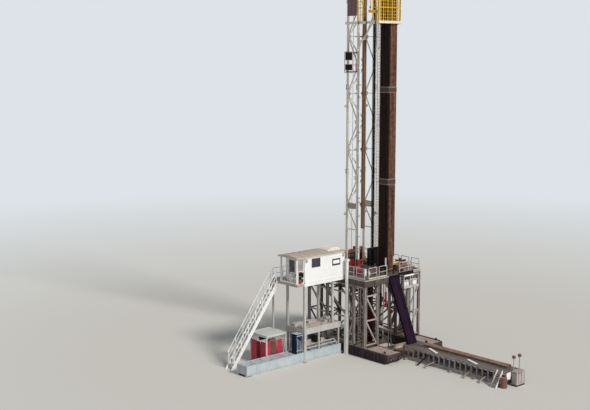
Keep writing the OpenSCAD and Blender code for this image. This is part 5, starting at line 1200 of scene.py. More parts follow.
bm, iron = bmesh.new(), bmesh.new()
PIPE_Y = 0.255
for z in (4.75, 7.4, 10.2, 12.9):
    turned(bm, [(0.045, 0), (0.07, 0.005), (0.07, 0.05), (0.045, 0.055)], (-0.6, PIPE_Y, z),
           (0, 0, 1), 24)
    bolt_ring(iron, (-0.6, PIPE_Y, z + 0.05), (0, 0, 1), 0.058, 8, 0.008)
down = Vector((-0.26, 0, -0.3)).normalized()
end = Vector((-0.86, PIPE_Y, 3.9))
turned(bm, [(0.041, -0.03), (0.062, -0.03), (0.062, 0.03), (0.05, 0.035), (0.0, 0.04)], end, down,
       20)
for k in range(3):
    side, over, _ = axes_along(down)
    a = k * 2 * math.pi / 3
    reach = side * math.cos(a) + over * math.sin(a)
    bar(bm, end + reach * 0.055, end + reach * 0.085, 0.025)
up = Vector((0.7, -0.7, 0.5)).normalized()
tip = Vector((-0.6 + 0.182, PIPE_Y - 0.182, 15.13))
turned(bm, [(0.041, -0.03), (0.064, -0.03), (0.064, 0.03), (0.05, 0.04), (0.0, 0.045)], tip, up,
       20)
handwheel(bm, (-0.6, PIPE_Y - 0.045, 4.95), (0, -1, 0), 0.06)
for i in range(5):
    z = 5.5 + i * 1.7 + 0.04
    for dz in (-0.02, 0.02):
        tube(iron, [(-0.66, 0.31, z + dz), (-0.66, 0.24, z + dz), (-0.63, 0.205, z + dz),
                    (-0.57, 0.205, z + dz), (-0.54, 0.24, z + dz), (-0.54, 0.31, z + dz)], 0.007,
             6)
paint_piece("standpipe_unions", bm, "rail_paint")
make("standpipe_u_bolts", iron, bolt_steel)

# %% [markdown]
# The racking board holds the tops of the stands, 12 m above the floor at this scale.
# Yellow frames with a mesh of flat bars close it in, edge plates keep tools from falling,
# and every finger has a latch that stops its pipe from tipping out. The mesh is real bars,
# drawn coarser than the 50 mm mesh of the real one, because it has to show.

# %% Board mesh and latches
dusty_yellow = painted_steel("ochre_dust_on_yellow_mesh", "#ecb81c", "#f4ca30", dirt="#5e3a18",
                             grime=0.4, chips=0.3, dust=0.05)
PIPE_Y0, PITCH = -1.0, 0.092
FX, FY0, FZ = 0.757, -1.12, 15.9
bm, mesh_bars = bmesh.new(), bmesh.new()
front_w = (2 * FX - 0.08 - 4 * 0.03) / 5
panes = [(-FX + 0.04 + i * (front_w + 0.03), front_w, "x", FY0 + 0.02) for i in range(5)]
side_y0, side_y1 = FY0 + 0.0403, LEG_FRONT - 0.0633
side_w = (side_y1 - side_y0 - 0.08 - 3 * 0.03) / 4
panes += [(side_y0 + 0.04 + i * (side_w + 0.03), side_w, "y", FX - 0.02) for i in range(4)]
panes += [(side_y0 + 0.04, 0.31, "y", -FX + 0.02), (side_y1 - 0.33, 0.29, "y", -FX + 0.02)]
for a, w, axis, at in panes:
    for row in (0, 1):
        z0 = FZ + 0.04 + row * 0.62
        z1 = z0 + 0.59
        put = (lambda u, z: (a + u, at, z)) if axis == "x" else (lambda u, z: (at, a + u, z))
        for k in range(1, 4):
            bar(bm, put(0, z0 + k * 0.59 / 4), put(w, z0 + k * 0.59 / 4), 0.013)
        n = max(2, round(w / 0.17))
        for k in range(1, n):
            bar(bm, put(w * k / n, z0), put(w * k / n, z1), 0.016)
        bar(mesh_bars, put(0, z0 + 0.03), put(w, z0 + 0.03), 0.03, 0.008)
make("board_mesh", bm, dusty_yellow)
paint_piece("board_kick_strips", mesh_bars, "yellow_paint")
bm = bmesh.new()
block(bm, (-FX, FY0 - 0.01, 15.82), (FX, FY0 - SIT, 15.93))
block(bm, (-FX - 0.01, FY0, 15.8), (-FX - SIT, LEG_BACK + 0.04, 15.93))
block(bm, (FX + SIT, FY0, 15.8), (FX + 0.01, LEG_FRONT - 0.08, 15.93))
paint_piece("board_edge_plates", bm, "mast_paint", edge=0.002)

bm, red = bmesh.new(), bmesh.new()
for s in (-1, 1):
    for j in range(7):
        y = PIPE_Y0 + (j + 0.5) * PITCH
        x = s * 0.128
        tube(red, [(x, y - PITCH / 2, 15.915), (x, y - PITCH / 2 + 0.03, 15.93),
                   (x, y + PITCH / 2 - 0.01, 15.915)], 0.008, 6)
        block(red, (x - 0.016, y - PITCH / 2 - 0.012, 15.9),
              (x + 0.016, y - PITCH / 2 + 0.012, 15.93))
    block(bm, (s * 0.092 - 0.004, -1.035, 15.86), (s * 0.092 + 0.004, -0.36, 15.93))
for k in range(8):
    y = -1.0 + k * 0.085
    bar(bm, (-0.08, y, 15.884), (0.08, y, 15.884), 0.014, 0.006)
for x in (-0.755, 0.755):
    for y in (-0.9, -0.3, 0.2):
        block(bm, (x - 0.012, y - 0.04, 15.78), (x + 0.012, y + 0.04, 15.92))
for k in range(9):
    x = -0.7 + k * 0.175
    bar(bm, (x, -1.126, 15.85), (x, -1.126, 15.9), 0.03, 0.01)
paint_piece("board_plates_and_treads", bm, "rail_paint", edge=0.002)
paint_piece("finger_latches", red, "red_paint")

# %% [markdown]
# At the top the crown carries the sheaves. A guard rail keeps the lines on them, gratings
# make a walkway for greasing them, and a red lamp marks the highest point.

# %% Crown guards, gratings, beacon
CROWN_Z, AXLE_Z, FAST_Y = 26.453, 26.813, 0.99
bm, iron, red = bmesh.new(), bmesh.new(), bmesh.new()
half, GUARD_R = 0.21, 0.335
for y in (0.0, FAST_Y):
    for x in (-half, half):
        arch = [(x, y + GUARD_R * math.cos(a), AXLE_Z + GUARD_R * math.sin(a))
                for a in [k * math.pi / 10 for k in range(11)]]
        tube(bm, arch, 0.01, 6)
        for e in (-1, 1):
            bar(bm, (x, y + e * GUARD_R, CROWN_Z), (x, y + e * GUARD_R, AXLE_Z), 0.02)
    for k in range(1, 10, 2):
        a = k * math.pi / 10
        bar(bm, (-half, y + GUARD_R * math.cos(a), AXLE_Z + GUARD_R * math.sin(a)),
            (half, y + GUARD_R * math.cos(a), AXLE_Z + GUARD_R * math.sin(a)), 0.012)
    for sx in (-1, 1):
        x = sx * 0.3
        turned(iron, [(0.06, 0), (0.06, 0.015), (0.03, 0.02), (0.015, 0.035)], (x, y, AXLE_Z),
               (sx, 0, 0), 18)
        for dy in (-0.12, 0.12):
            bolt(iron, (sx * 0.24, y + dy, CROWN_Z + 0.04), (0, 0, 1), 0.014)
for sx in (-1, 1):
    for k in range(46):
        y = -0.34 + k * 0.036
        bar(bm, (sx * 0.335, y, CROWN_Z - 0.012), (sx * 0.6, y, CROWN_Z - 0.012), 0.006, 0.022)
    for x in (0.36, 0.48, 0.58):
        bar(bm, (sx * x, -0.36, CROWN_Z - 0.012), (sx * x, 1.32, CROWN_Z - 0.012), 0.006, 0.02)
    for y in (LEG_FRONT, LEG_BACK):
        for dx in (-0.065, 0.065):
            bolt(iron, (sx * LEG_X + dx, y - 0.08, CROWN_Z), (0, 0, 1), 0.012)
            bolt(iron, (sx * LEG_X + dx, y + 0.08, CROWN_Z), (0, 0, 1), 0.012)
turned(bm, [(0.035, 0), (0.035, 0.03), (0.02, 0.04)], (0.55, -0.434, 27.003), (0, 0, 1), 16)
turned(red, [(0.03, 0.04), (0.032, 0.07), (0.024, 0.1), (0.0, 0.11)], (0.55, -0.434, 27.003),
       (0, 0, 1), 16)
paint_piece("crown_guards_and_gratings", bm, "mast_paint")
make("crown_bolts", iron, bolt_steel)
make("crown_beacon", red, dusty_glass("red_lamp_glass", "#a3141c", "#7c4a44"))

# %% [markdown]
# The travelling block is a yellow casting with pins through its cheeks. The top drive
# below it turns the pipe: two motors with ribbed housings on a blue gear case, with doors,
# guards and rollers that run on the guide rail.

# %% Travelling block and top drive
BLOCK_Z, DRIVE_TOP, DRIVE_LOW = 20.1, 19.27, 17.97
bm, iron, blue = bmesh.new(), bmesh.new(), bmesh.new()
for sx in (-1, 1):
    x = sx * 0.25
    turned(iron, [(0.09, 0), (0.09, 0.02), (0.06, 0.03), (0.03, 0.05)], (x, 0, BLOCK_Z),
           (sx, 0, 0), 24)
    bolt_ring(iron, (x, 0, BLOCK_Z), (sx, 0, 0), 0.19, 10, 0.012)
    for dz in (-0.25, -0.33):
        bolt(iron, (x, -0.09, BLOCK_Z + dz), (sx, 0, 0), 0.012)
        bolt(iron, (x, 0.09, BLOCK_Z + dz), (sx, 0, 0), 0.012)
for k in range(-3, 4):
    a = math.pi / 2 + k * 0.32
    bar(bm, (-0.225, 0.262 * math.cos(a), BLOCK_Z + 0.262 * math.sin(a)),
        (0.225, 0.262 * math.cos(a), BLOCK_Z + 0.262 * math.sin(a)), 0.02)
turned(bm, [(0.075, 0), (0.13, 0.02), (0.13, 0.07), (0.075, 0.09)], (0, 0, DRIVE_TOP + 0.2),
       (0, 0, 1), 28)
block(blue, (-0.268, -0.238, DRIVE_LOW - 0.006), (0.268, 0.226, DRIVE_LOW + 0.72))
for sx in (-1, 1):
    block(blue, (sx * 0.13 - 0.1, -0.25, DRIVE_LOW + 0.06),
          (sx * 0.13 + 0.1, -0.238, DRIVE_LOW + 0.62))
    block(blue, (sx * 0.268 - 0.012, -0.17, DRIVE_LOW + 0.08),
          (sx * 0.268 + 0.012, 0.16, DRIVE_LOW + 0.6))
    for k in range(9):
        z = DRIVE_TOP - 0.51 + k * 0.045
        turned(blue, [(0.126, 0), (0.136, 0), (0.136, 0.014), (0.126, 0.014)], (sx * 0.15, 0, z),
               (0, 0, 1), 24)
    turned(blue, [(0.12, 0), (0.125, 0.03), (0.09, 0.08), (0.04, 0.1), (0.0, 0.1)],
           (sx * 0.15, 0, DRIVE_TOP - 0.09), (0, 0, 1), 24)
    for dz in (0.15, 0.3, 0.45, 0.58):
        bolt(iron, (sx * 0.215, -0.25, DRIVE_LOW + dz), (0, -1, 0), 0.01)
        bolt(iron, (sx * 0.045, -0.25, DRIVE_LOW + dz), (0, -1, 0), 0.01)
    for z in (DRIVE_LOW + 0.12, DRIVE_LOW + 0.67):
        turned(iron, [(0.035, -0.03), (0.045, -0.02), (0.045, 0.02), (0.035, 0.03)],
               (sx * 0.115, 0.52, z), (0, 0, 1), 18)
    turned(iron, [(0.025, 0), (0.045, 0.02), (0.045, 0.07), (0.025, 0.09)], (sx * 0.19, 0, 16.56),
           (0, 0, 1), 16)
turned(iron, [(0.08, 0), (0.1, 0.01), (0.1, 0.09), (0.08, 0.1)], (0, 0, DRIVE_LOW - 0.1),
       (0, 0, 1), 28)
bolt_ring(iron, (0, 0, DRIVE_LOW - 0.1), (0, 0, -1), 0.088, 10, 0.009)
paint_piece("block_guards", bm, "yellow_paint", edge=0.003)
paint_piece("top_drive_housings", blue, "blue_paint", edge=0.005)
make("top_drive_rollers_and_bolts", iron, bare_steel)

# %% [markdown]
# Under the floor every post is pinned between a shoe on the base box and a lug on the
# floor beam, so that the substructure comes apart. Gusset plates with bolts join the
# braces to the posts.

# %% Gussets, shoes and pins of the substructure
bm, iron, base = bmesh.new(), bmesh.new(), bmesh.new()
for sx in (-1, 1):
    for x in POST_X:
        out = 1 if x > 1.5 else -1
        face = sx * (x + out * 0.055)
        for k, y in enumerate(SUB_Y):
            for z in SUB_Z:
                if k:
                    flat = sx * (x + out * 0.03)
                    lo, hi = (y - 0.13 if k > 1 else y, y + 0.13 if k < 4 else y)
                    block(bm, (min(flat, flat + sx * out * 0.01), lo, z - 0.09),
                          (max(flat, flat + sx * out * 0.01), hi, z + 0.09))
                    for e in ([-1] if k == 4 else [1] if k == 1 else [-1, 1]):
                        for dz in (-0.05, 0.05):
                            bolt(iron, (flat + sx * out * 0.01, y + e * 0.095, z + dz),
                                 (sx * out, 0, 0), 0.011)
            block(base, (sx * x - 0.075, y - 0.075, 0.462), (sx * x + 0.075, y + 0.075, 0.478))
            block(base, (sx * x - 0.068, y - 0.068, 0.478), (sx * x + 0.068, y + 0.068, 0.56))
            block(base, (sx * x - 0.068, y - 0.068, 3.35), (sx * x + 0.068, y + 0.068, 3.444))
            for z in (0.53, 3.39):
                turned(iron, [(0.035, 0), (0.035, 0.012), (0.022, 0.014), (0.022, 0.03)],
                       (sx * x + sx * out * 0.068, y, z), (sx * out, 0, 0), 14)
paint_piece("brace_gussets", bm, "frame_paint", edge=0.002)
paint_piece("post_shoes", base, "base_steel", edge=0.004)
make("substructure_pins_and_bolts", iron, bolt_steel)

bm, iron = bmesh.new(), bmesh.new()
for sx in (-1, 1):
    for y in (-2.75, 2.2):
        for x in (1.12, 1.83):
            block(bm, (sx * x - 0.02, y - 0.07, 0.458), (sx * x + 0.02, y + 0.07, 0.53))
            turned(bm, [(0.03, 0), (0.055, 0.0), (0.055, 0.03), (0.03, 0.03)],
                   (sx * x - 0.015, y, 0.54), (1, 0, 0), 18)
    for y0, y1 in ((-3.0, -1.6), (-1.4, -0.85), (-0.65, -0.4), (-0.2, 0.98), (1.18, 2.3)):
        bar(bm, (sx * 1.06, y0, 0.467), (sx * 1.06, y1, 0.467), 0.02, 0.014)
        bar(bm, (sx * 1.89, y0, 0.467), (sx * 1.89, y1, 0.467), 0.02, 0.014)
    for x in (1.19, 1.76):
        turned(iron, [(0.03, 0), (0.03, 0.14)], (sx * x - 0.07, -3.15, 0.253), (1, 0, 0), 16)
        turned(iron, [(0.045, 0), (0.045, 0.015)], (sx * x - 0.085, -3.15, 0.253), (1, 0, 0), 16)
paint_piece("base_box_pad_eyes", bm, "base_steel", edge=0.004)
make("base_box_pins", iron, bolt_steel)
print("substructure dressed")

# %% [markdown]
# At the stair's head a glazed steel screen keeps the wind off the door. Grey boxes on its
# frame switch the lamps, the red one holds the emergency stop, and a yellow cabinet on the
# wall holds the eyewash. They are bolted on, so that they can be changed when they corrode.

# %% Porch screen and cabinets
bm = bmesh.new()
for x in (-4.96, -4.585):
    bar(bm, (x, -0.112, FLOOR_Z), (x, -0.112, 4.97), 0.035)
for z in (4.4, 4.95):
    bar(bm, (-4.96, -0.112, z), (-4.585, -0.112, z), 0.03)
for y in (-0.125, 0.975):
    bar(bm, (-5.022, y, FLOOR_Z), (-5.022, y, 5.0), 0.056)
turned(bm, [(0.0, 0), (0.145, 0.0), (0.15, 0.01), (0.15, 0.14), (0.155, 0.15), (0.15, 0.16),
            (0.15, 0.29), (0.155, 0.3), (0.15, 0.31), (0.15, 0.44), (0.14, 0.45), (0.0, 0.445)],
       (-4.8, 0.42, FLOOR_Z + 0.003), (0, 0, 1))
paint_piece("porch_screen_frame", bm, "white_panel", edge=0.003)
bm = bmesh.new()
block(bm, (-4.945, -0.118, 4.415), (-4.6, -0.11, 4.937))
make("porch_screen_glass", bm, dusty_glass("glass_white_with_dust", "#8f898c", "#c9bfb8"))
bm = bmesh.new()
for x0, x1, z0, z1 in ((-4.9, -4.74, 4.2, 4.37), (-4.9, -4.74, 4.04, 4.15),
                       (-4.7, -4.62, 4.12, 4.34)):
    block(bm, (x0, -0.17, z0), (x1, -0.105, z1))
    bar(bm, ((x0 + x1) / 2, -0.13, FLOOR_Z), ((x0 + x1) / 2, -0.13, z0), 0.02)
block(bm, (-4.6, 0.0, 4.36), (-4.555, 0.02, 4.72))
paint_piece("porch_switch_boxes", bm, "black_paint", edge=0.004)
bm = bmesh.new()
block(bm, (-4.92, -0.165, 3.83), (-4.72, -0.1, 4.0))
turned(bm, [(0.03, 0), (0.03, 0.02), (0.0, 0.03)], (-4.82, -0.165, 3.92), (0, -1, 0))
make("emergency_stop_box", bm, painted_steel("faded_red_enamel_on_box", "#932844", "#a8435a",
                                             grime=0.4), edge=0.004)
bm = bmesh.new()
block(bm, (-4.62, 0.04, 4.38), (-4.552, 0.4, 4.7))
block(bm, (-4.627, 0.06, 4.4), (-4.62, 0.38, 4.68))
bar(bm, (-4.635, 0.1, 4.5), (-4.635, 0.1, 4.58), 0.012)
paint_piece("eyewash_cabinet", bm, "yellow_paint", edge=0.004)

# %% [markdown]
# Each tread has a nosing of grip bars and a bolt through each stringer, so that a worn
# tread can be changed on site. The doghouse's posts end in bolted foot plates.

# %% Stair nosings and foot plates
STAIR_X, GOING, RISE = -7.895, 0.1564, 0.2111
bm, iron = bmesh.new(), bmesh.new()
for i in range(1, 18):
    x, z = STAIR_X + i * GOING, i * RISE - 0.006
    for k in range(9):
        y = 1.22 + k * 0.045
        block(bm, (x + 0.005, y - 0.006, z), (x + 0.125, y + 0.006, z + 0.008))
    for y, way in ((1.174, -1), (1.626, 1)):
        bolt(iron, (x + 0.065, y, z - 0.03), (0, way, 0), 0.011)
paint_piece("stair_nosings", bm, "rail_paint")
for x in (-4.5, -2.0):
    for y in (-0.1, 1.1):
        block(iron, (x - 0.085, y - 0.085, 0.0), (x + 0.085, y + 0.085, 0.018))
        for dx in (-0.068, 0.068):
            bolt(iron, (x + dx, y - 0.068, 0.018), (0, 0, 1), 0.012)
make("stair_and_post_bolts", iron, bolt_steel)

# %% [markdown]
# Everything that carries mud, water and air under the doghouse ends in a manifold of
# screwed pipes and gate valves on the skid. The platform above stores spare pipe, tools
# and fittings, with a rim that keeps them from rolling off.

# %% Skid manifold and platform stores
dusty_primer = painted_steel("pink_dust_on_grey_primer", "#a1918b", "#bfada5", rough=0.7,
                             grime=0.4, chips=0.4)
MANIFOLD_RUNS = ((0.02, 0.62), (0.16, 0.72), (0.34, 0.6))
bm, wheels = bmesh.new(), bmesh.new()
for y, z in MANIFOLD_RUNS:
    tube(bm, pipe_run([(-4.32, y, 0.47), (-4.32, y, z), (-2.3, y, z), (-2.3, y, 0.47)], 0.06),
         0.028)
for k in range(7):
    x = -4.1 + k * 0.28
    y, z = MANIFOLD_RUNS[k % 3]
    turned(bm, [(0.045, 0), (0.055, 0.012), (0.035, 0.02), (0.035, 0.08), (0.055, 0.088),
                (0.045, 0.1)], (x - 0.05, y, z), (1, 0, 0), 16)
    tube(bm, [(x, y, z), (x, y, z + 0.09)], 0.022, 10)
    handwheel(wheels, (x, y, z + 0.06), (0, 0, 1), 0.055)
for x in (-4.0, -3.3, -2.6):
    block(bm, (x - 0.02, -0.02, 0.45), (x + 0.02, 0.4, 0.5))
    for y, _ in MANIFOLD_RUNS:
        bar(bm, (x, y, 0.5), (x, y, 0.6), 0.025)
for x0, x1, z1 in ((-3.95, -3.6, 0.86), (-2.95, -2.72, 0.78)):
    block(bm, (x0, 0.42, 0.455), (x1, 0.56, z1))
paint_piece("skid_manifold", bm, "rail_paint", edge=0.003)
paint_piece("manifold_handwheels", wheels, "frame_paint")
STORE_Z = 1.552
bm, boxes = bmesh.new(), bmesh.new()
for k, (y, x0, x1, r) in enumerate(((0.08, -4.3, -2.3, 0.035), (0.17, -4.1, -2.5, 0.03),
                                    (0.26, -4.35, -2.9, 0.04), (0.5, -4.0, -2.2, 0.03),
                                    (0.58, -4.2, -2.6, 0.035), (0.8, -4.3, -2.4, 0.04))):
    tube(bm, [(x0, y, 1.55 + r), (x1, y + 0.03 * (k % 3), 1.55 + r)], r, 10)
for x, y, w, d, h in ((-2.7, 0.36, 0.34, 0.2, 0.12), (-3.35, 0.74, 0.5, 0.3, 0.13),
                      (-4.2, 0.38, 0.25, 0.2, 0.12), (-2.35, 0.72, 0.2, 0.24, 0.16),
                      (-4.05, 0.86, 0.6, 0.26, 0.1), (-3.1, 0.12, 0.2, 0.12, 0.08)):
    block(boxes, (x - w / 2, y - d / 2, STORE_Z), (x + w / 2, y + d / 2, STORE_Z + h))
    block(boxes, (x - w / 2 - 0.01, y - d / 2 - 0.01, STORE_Z + h),
          (x + w / 2 + 0.01, y + d / 2 + 0.01, 1.57 + h))
paint_piece("platform_boxes", boxes, "rail_paint", edge=0.004)
for k in range(4):
    tube(bm, pipe_run([(-4.5, 0.12 + 0.1 * k, 0.5), (-4.5, 0.12 + 0.1 * k, 1.62 + 0.02 * k),
                       (-4.1, 0.12 + 0.1 * k, 1.62 + 0.02 * k)], 0.1), 0.02, 8)
make("platform_stores", bm, dusty_primer, edge=0.003)
bm = bmesh.new()
block(bm, (-4.555, -0.06, 1.5), (-2.045, -0.052, 1.6))
block(bm, (-4.56, -0.06, 1.5), (-4.552, 1.06, 1.6))
block(bm, (-4.555, 1.052, 1.5), (-2.045, 1.06, 1.6))
paint_piece("platform_rim", bm, "rail_paint", edge=0.002)

# %% [markdown]
# The outer skid box is closed with lids on hinges, each with a bent handle, and it rests
# on a rusty foot. Two drums stand behind it.

# %% Skid lids, foot and drums
bm, iron = bmesh.new(), bmesh.new()
for k in range(5):
    a, b = -7.94 + 0.582 * k, -7.398 + 0.582 * k
    middle = (a + b) / 2
    block(bm, (a, -0.06, 0.452), (b, 0.5, 0.468))
    tube(iron, pipe_run([(middle - 0.05, 0.0, 0.468), (middle - 0.05, 0.0, 0.51),
                         (middle + 0.05, 0.0, 0.51), (middle + 0.05, 0.0, 0.468)], 0.02), 0.008, 8)
    for x in (a + 0.08, b - 0.08):
        tube(iron, [(x - 0.04, 0.5, 0.47), (x + 0.04, 0.5, 0.47)], 0.014, 8)
paint_piece("skid_lids", bm, "skid_grey", edge=0.002)
make("skid_handles_and_hinges", iron, bolt_steel)
bm = bmesh.new()
block(bm, (-8.03, -0.1, 0.0), (-7.7, 0.52, 0.03))
for y in (-0.02, 0.2, 0.42):
    block(bm, (-8.026, y, 0.03), (-7.9, y + 0.02, 0.14))
make("skid_foot", bm, rusted_steel, edge=0.003)
bm = bmesh.new()
turned(bm, [(0.0, 0), (0.15, 0), (0.15, 0.15), (0.156, 0.16), (0.15, 0.17), (0.15, 0.31),
            (0.156, 0.32), (0.15, 0.33), (0.15, 0.47), (0.14, 0.48), (0, 0.47)], (-4.86, 1.0, 0.0),
       (0, 0, 1))
turned(bm, [(0.0, 0), (0.1, 0), (0.1, 0.28), (0.05, 0.34), (0.05, 0.38), (0, 0.38)],
       (-4.7, 0.8, 0.0), (0, 0, 1))
paint_piece("tan_drums", bm, "tan_roof")

# %% [markdown]
# The accumulator unit keeps oil under pressure in a row of bottles, ready to close the
# preventer when all power is lost. Its gauges and valves face outwards. The power unit's
# engines sit behind doors, with louvres at the fans.

# %% Accumulator and power unit
bm = bmesh.new()
for k in range(4):
    x = -4.92 + k * 0.1
    tube(bm, pipe_run([(x, -0.06, 0.5), (x, -0.06, 1.2 - 0.08 * k), (x, 0.05, 1.2 - 0.08 * k)],
                      0.03), 0.012, 8)
    turned(bm, [(0.032, 0), (0.036, 0.006), (0.036, 0.02), (0.03, 0.024), (0.0, 0.022)],
           (x, -0.05, 1.33), (0, -1, 0), 16)
    handwheel(bm, (x, -0.07, 0.72 + 0.07 * (k % 2)), (0, -1, 0), 0.03)
tube(bm, [(-4.95, -0.03, 0.62), (-4.6, -0.03, 0.62)], 0.02, 10)
block(bm, (-4.96, -0.045, 1.4), (-4.59, 0.305, 1.415))
paint_piece("accumulator_valves", bm, "skid_grey")
bm = bmesh.new()
for x0, x1 in ((-6.22, -6.0), (-5.58, -5.3)):
    block(bm, (x0, 0.6, 0.24), (x1, 0.625, 1.16))
    block(bm, (x0 + 0.03, 0.592, 0.3), (x1 - 0.03, 0.6, 0.68))
    block(bm, (x0 + 0.03, 0.592, 0.74), (x1 - 0.03, 0.6, 1.1))
block(bm, (-6.25, 0.59, 0.1), (-5.06, 0.64, 0.22))
block(bm, (-6.262, 0.62, 0.3), (-6.245, 1.0, 1.12))
block(bm, (-6.262, 1.3, 0.3), (-6.245, 1.66, 1.12))
paint_piece("power_unit_doors", bm, "crimson_paint", edge=0.004)
bm = bmesh.new()
for k in range(12):
    z = 0.26 + k * 0.075
    for x0, x1 in ((-5.98, -5.6), (-5.28, -5.1)):
        bar(bm, (x0, 0.615, z), (x1, 0.615, z), 0.05, 0.008)
    bar(bm, (-6.255, 1.02, z), (-6.255, 1.28, z), 0.05, 0.008)
block(bm, (-5.98, 0.63, 0.24), (-5.6, 0.64, 1.14))
for y in (0.85, 1.49):
    turned(bm, [(0, 0), (0.05, 0.01), (0.09, 0.05), (0.09, 0.42), (0.05, 0.46), (0, 0.46)],
           (-5.95, y, 1.1), (1, 0, 0))
    for k in range(9):
        bar(bm, (-6.2, y - 0.18 + k * 0.045, 0.99), (-6.08, y - 0.18 + k * 0.045, 0.99), 0.02,
            0.012)
make("power_unit_louvres", bm, rusted_steel)
bm = bmesh.new()
for y in (0.585, 1.765):
    bar(bm, (-6.28, y, 1.405), (-5.03, y, 1.405), 0.03, 0.1)
for x in (-6.275, -5.035):
    bar(bm, (x, 0.57, 1.405), (x, 1.78, 1.405), 0.03, 0.1)
bar(bm, (-5.3, 0.585, 0.12), (-5.06, 0.585, 1.36), 0.035)
for x in (-5.06, -6.25):
    block(bm, (x - 0.03, 0.57, 0.1), (x + 0.03, 0.63, 1.38))
make("power_unit_frame", bm, SPECIAL["power_unit_roof"], edge=0.003)

# %% [markdown]
# In the cellar the choke and kill lines leave the preventer through flanged gate valves.
# The preventer's halves are held by rings of heavy bolts, its rams can be locked by hand,
# and a red pulsation damper stands on a riser of the choke line. Planks lie between the
# base boxes.

# %% Cellar pipework
RAM_Z = (0.635, 1.065)
bm, iron, red = bmesh.new(), bmesh.new(), bmesh.new()
for z, way in ((1.86, -1), (1.92, 1), (3.186, -1), (3.246, 1)):
    bolt_ring(iron, (0, 0, z), (0, 0, way), 0.172, 12, 0.015)
bolt_ring(iron, (0, 0, 0.07), (0, 0, 1), 0.19, 12, 0.018)
bolt_ring(iron, (0, 0, 1.76), (0, 0, 1), 0.228, 16, 0.018)
for x in (-1, 1):
    for z in RAM_Z:
        for dy in (-0.13, 0.13):
            for dz in (-0.09, 0.09):
                bolt(iron, (x * 0.234, dy, z + dz), (x, 0, 0), 0.018)
        handwheel(red, (x * 0.386, 0, z), (x, 0, 0), 0.1)
for y, z in zip((-1, 1), RAM_Z):
    tube(bm, pipe_run([(0, y * 0.17, z), (0, y * 1.44, z), (0, y * 1.44, 0.3)], 0.12), 0.035)
    for k in (0.3, 0.55, 0.95):
        turned(bm, [(0.07, 0), (0.07, 0.03), (0.045, 0.035), (0.045, 0.1), (0.07, 0.105),
                    (0.07, 0.135)], (0, y * k, z), (0, y, 0), 16)
    handwheel(red, (0.04, y * 0.37, z), (1, 0, 0), 0.08)
tube(bm, [(-0.01, -1.44, 0.7), (-0.01, -1.44, 1.9)], 0.022, 10)
tube(bm, [(-0.2, -1.45, 0.28), (-0.2, -1.45, 3.0)], 0.028, 10)
tube(bm, pipe_run([(0.3, -1.3, 3.44), (0.3, -1.3, 2.4), (0.3, -0.6, 2.1), (0.3, -0.6, 0.3)], 0.2),
     0.03, 10)
paint_piece("choke_and_kill_lines", bm, "frame_paint")
turned(red, [(0.0, 0.0), (0.05, 0.012), (0.085, 0.045), (0.1, 0.1), (0.085, 0.155), (0.05, 0.188),
             (0, 0.2)], (-0.01, -1.44, 1.88), (0, 0, 1))
tube(red, [(-0.26, -1.3, 2.2), (-0.26, -1.3, 2.95)], 0.05)
tube(red, [(-0.26, -1.3, 2.95), (-0.26, -1.3, 3.45)], 0.02)
paint_piece("red_valve_wheels_and_damper", red, "crimson_paint")
make("preventer_bolts", iron, bolt_steel)
bm = bmesh.new()
tube(bm, [(-0.637, -1.16, 1.3), (-0.036, -1.573, 1.0)], 0.07)
tube(bm, [(-0.3, -1.2, 2.1), (-0.3, -1.2, 3.45)], 0.03)
tube(bm, pipe_run([(-0.1, 0.3, 2.9), (-0.1, 1.3, 2.8), (-0.1, 2.3, 2.7)], 0.3), 0.09)
make("flow_line", bm, dusty_primer)
bm = bmesh.new()
for k in range(8):
    y = -2.55 + k * 0.22
    bar(bm, (-0.97 + 0.05 * (k % 2), y, 0.028), (0.8 + 0.08 * (k % 3), y + 0.03 * (k % 2), 0.028),
        0.19, 0.05)
make("cellar_planks", bm, timber, edge=0.003)

# %% [markdown]
# The towers' posts are rolled H-sections. Their flanges stand out as pale edges, and the web set
# back between them is drawn as a dark strip of painted shade. The base boxes carry ribs on their
# sides, a gangway of grating on top, and the rig's own air and water pipes beside it.

# %% Post flanges and base box fittings
bm, dark, pipes = bmesh.new(), bmesh.new(), bmesh.new()
for side in (-1, 1):
    for x in POST_X:
        for dx in (-0.041, 0.041):
            block(bm, (side * x + dx - 0.014, -1.566, POST_FOOT),
                  (side * x + dx + 0.014, -1.548, POST_HEAD))
        # A dark strip down each post face is painted shade of the set-back web
        block(dark, (side * x - 0.027, -1.553, POST_FOOT), (side * x + 0.027, -1.548, POST_HEAD))
    for y in SUB_Y:
        for dy in (-0.041, 0.041):
            a, b = sorted((side * 1.948, side * 1.964))
            block(bm, (a, y + dy - 0.014, POST_FOOT), (b, y + dy + 0.014, POST_HEAD))
        a, b = sorted((side * 1.948, side * 1.953))
        block(dark, (a, y - 0.027, POST_FOOT), (b, y + 0.027, POST_HEAD))
    for k in range(12):
        y = -2.9 + k * 0.46
        a, b = sorted((side * 1.948, side * 1.972))
        block(dark, (a, y - 0.02, 0.02), (b, y + 0.02, 0.45))
    for k in range(24):
        y = -3.0 + k * 0.06
        bar(pipes, (side * 1.1, y, 0.468), (side * 1.8, y, 0.468), 0.016, 0.016)
    for x in (1.1, 1.45, 1.8):
        bar(pipes, (side * x, -3.02, 0.465), (side * x, -1.6, 0.465), 0.02, 0.014)
    tube(pipes, pipe_run([(side * 1.9, -2.95, 0.49), (side * 1.9, -0.6, 0.49),
                          (side * 1.9, 2.3, 0.49)], 0.05), 0.022, 8)
    tube(pipes, pipe_run([(side * 1.03, -2.7, 0.48), (side * 1.03, 2.3, 0.48),
                          (side * 1.03, 2.35, 0.6)], 0.05), 0.02, 8)
paint_piece("post_flanges", bm, "frame_paint", edge=0.002)
paint_piece("post_web_shade_strips_and_box_ribs", dark, "base_steel")
make("gangway_and_service_pipes", pipes, dusty_primer)

# %% [markdown]
# Pipe is dragged up the ramp, so its middle is polished while mud dries along both sides.
# The mud is a pair of thin strips, 10 mm proud of the plate, as thick as it really gets.

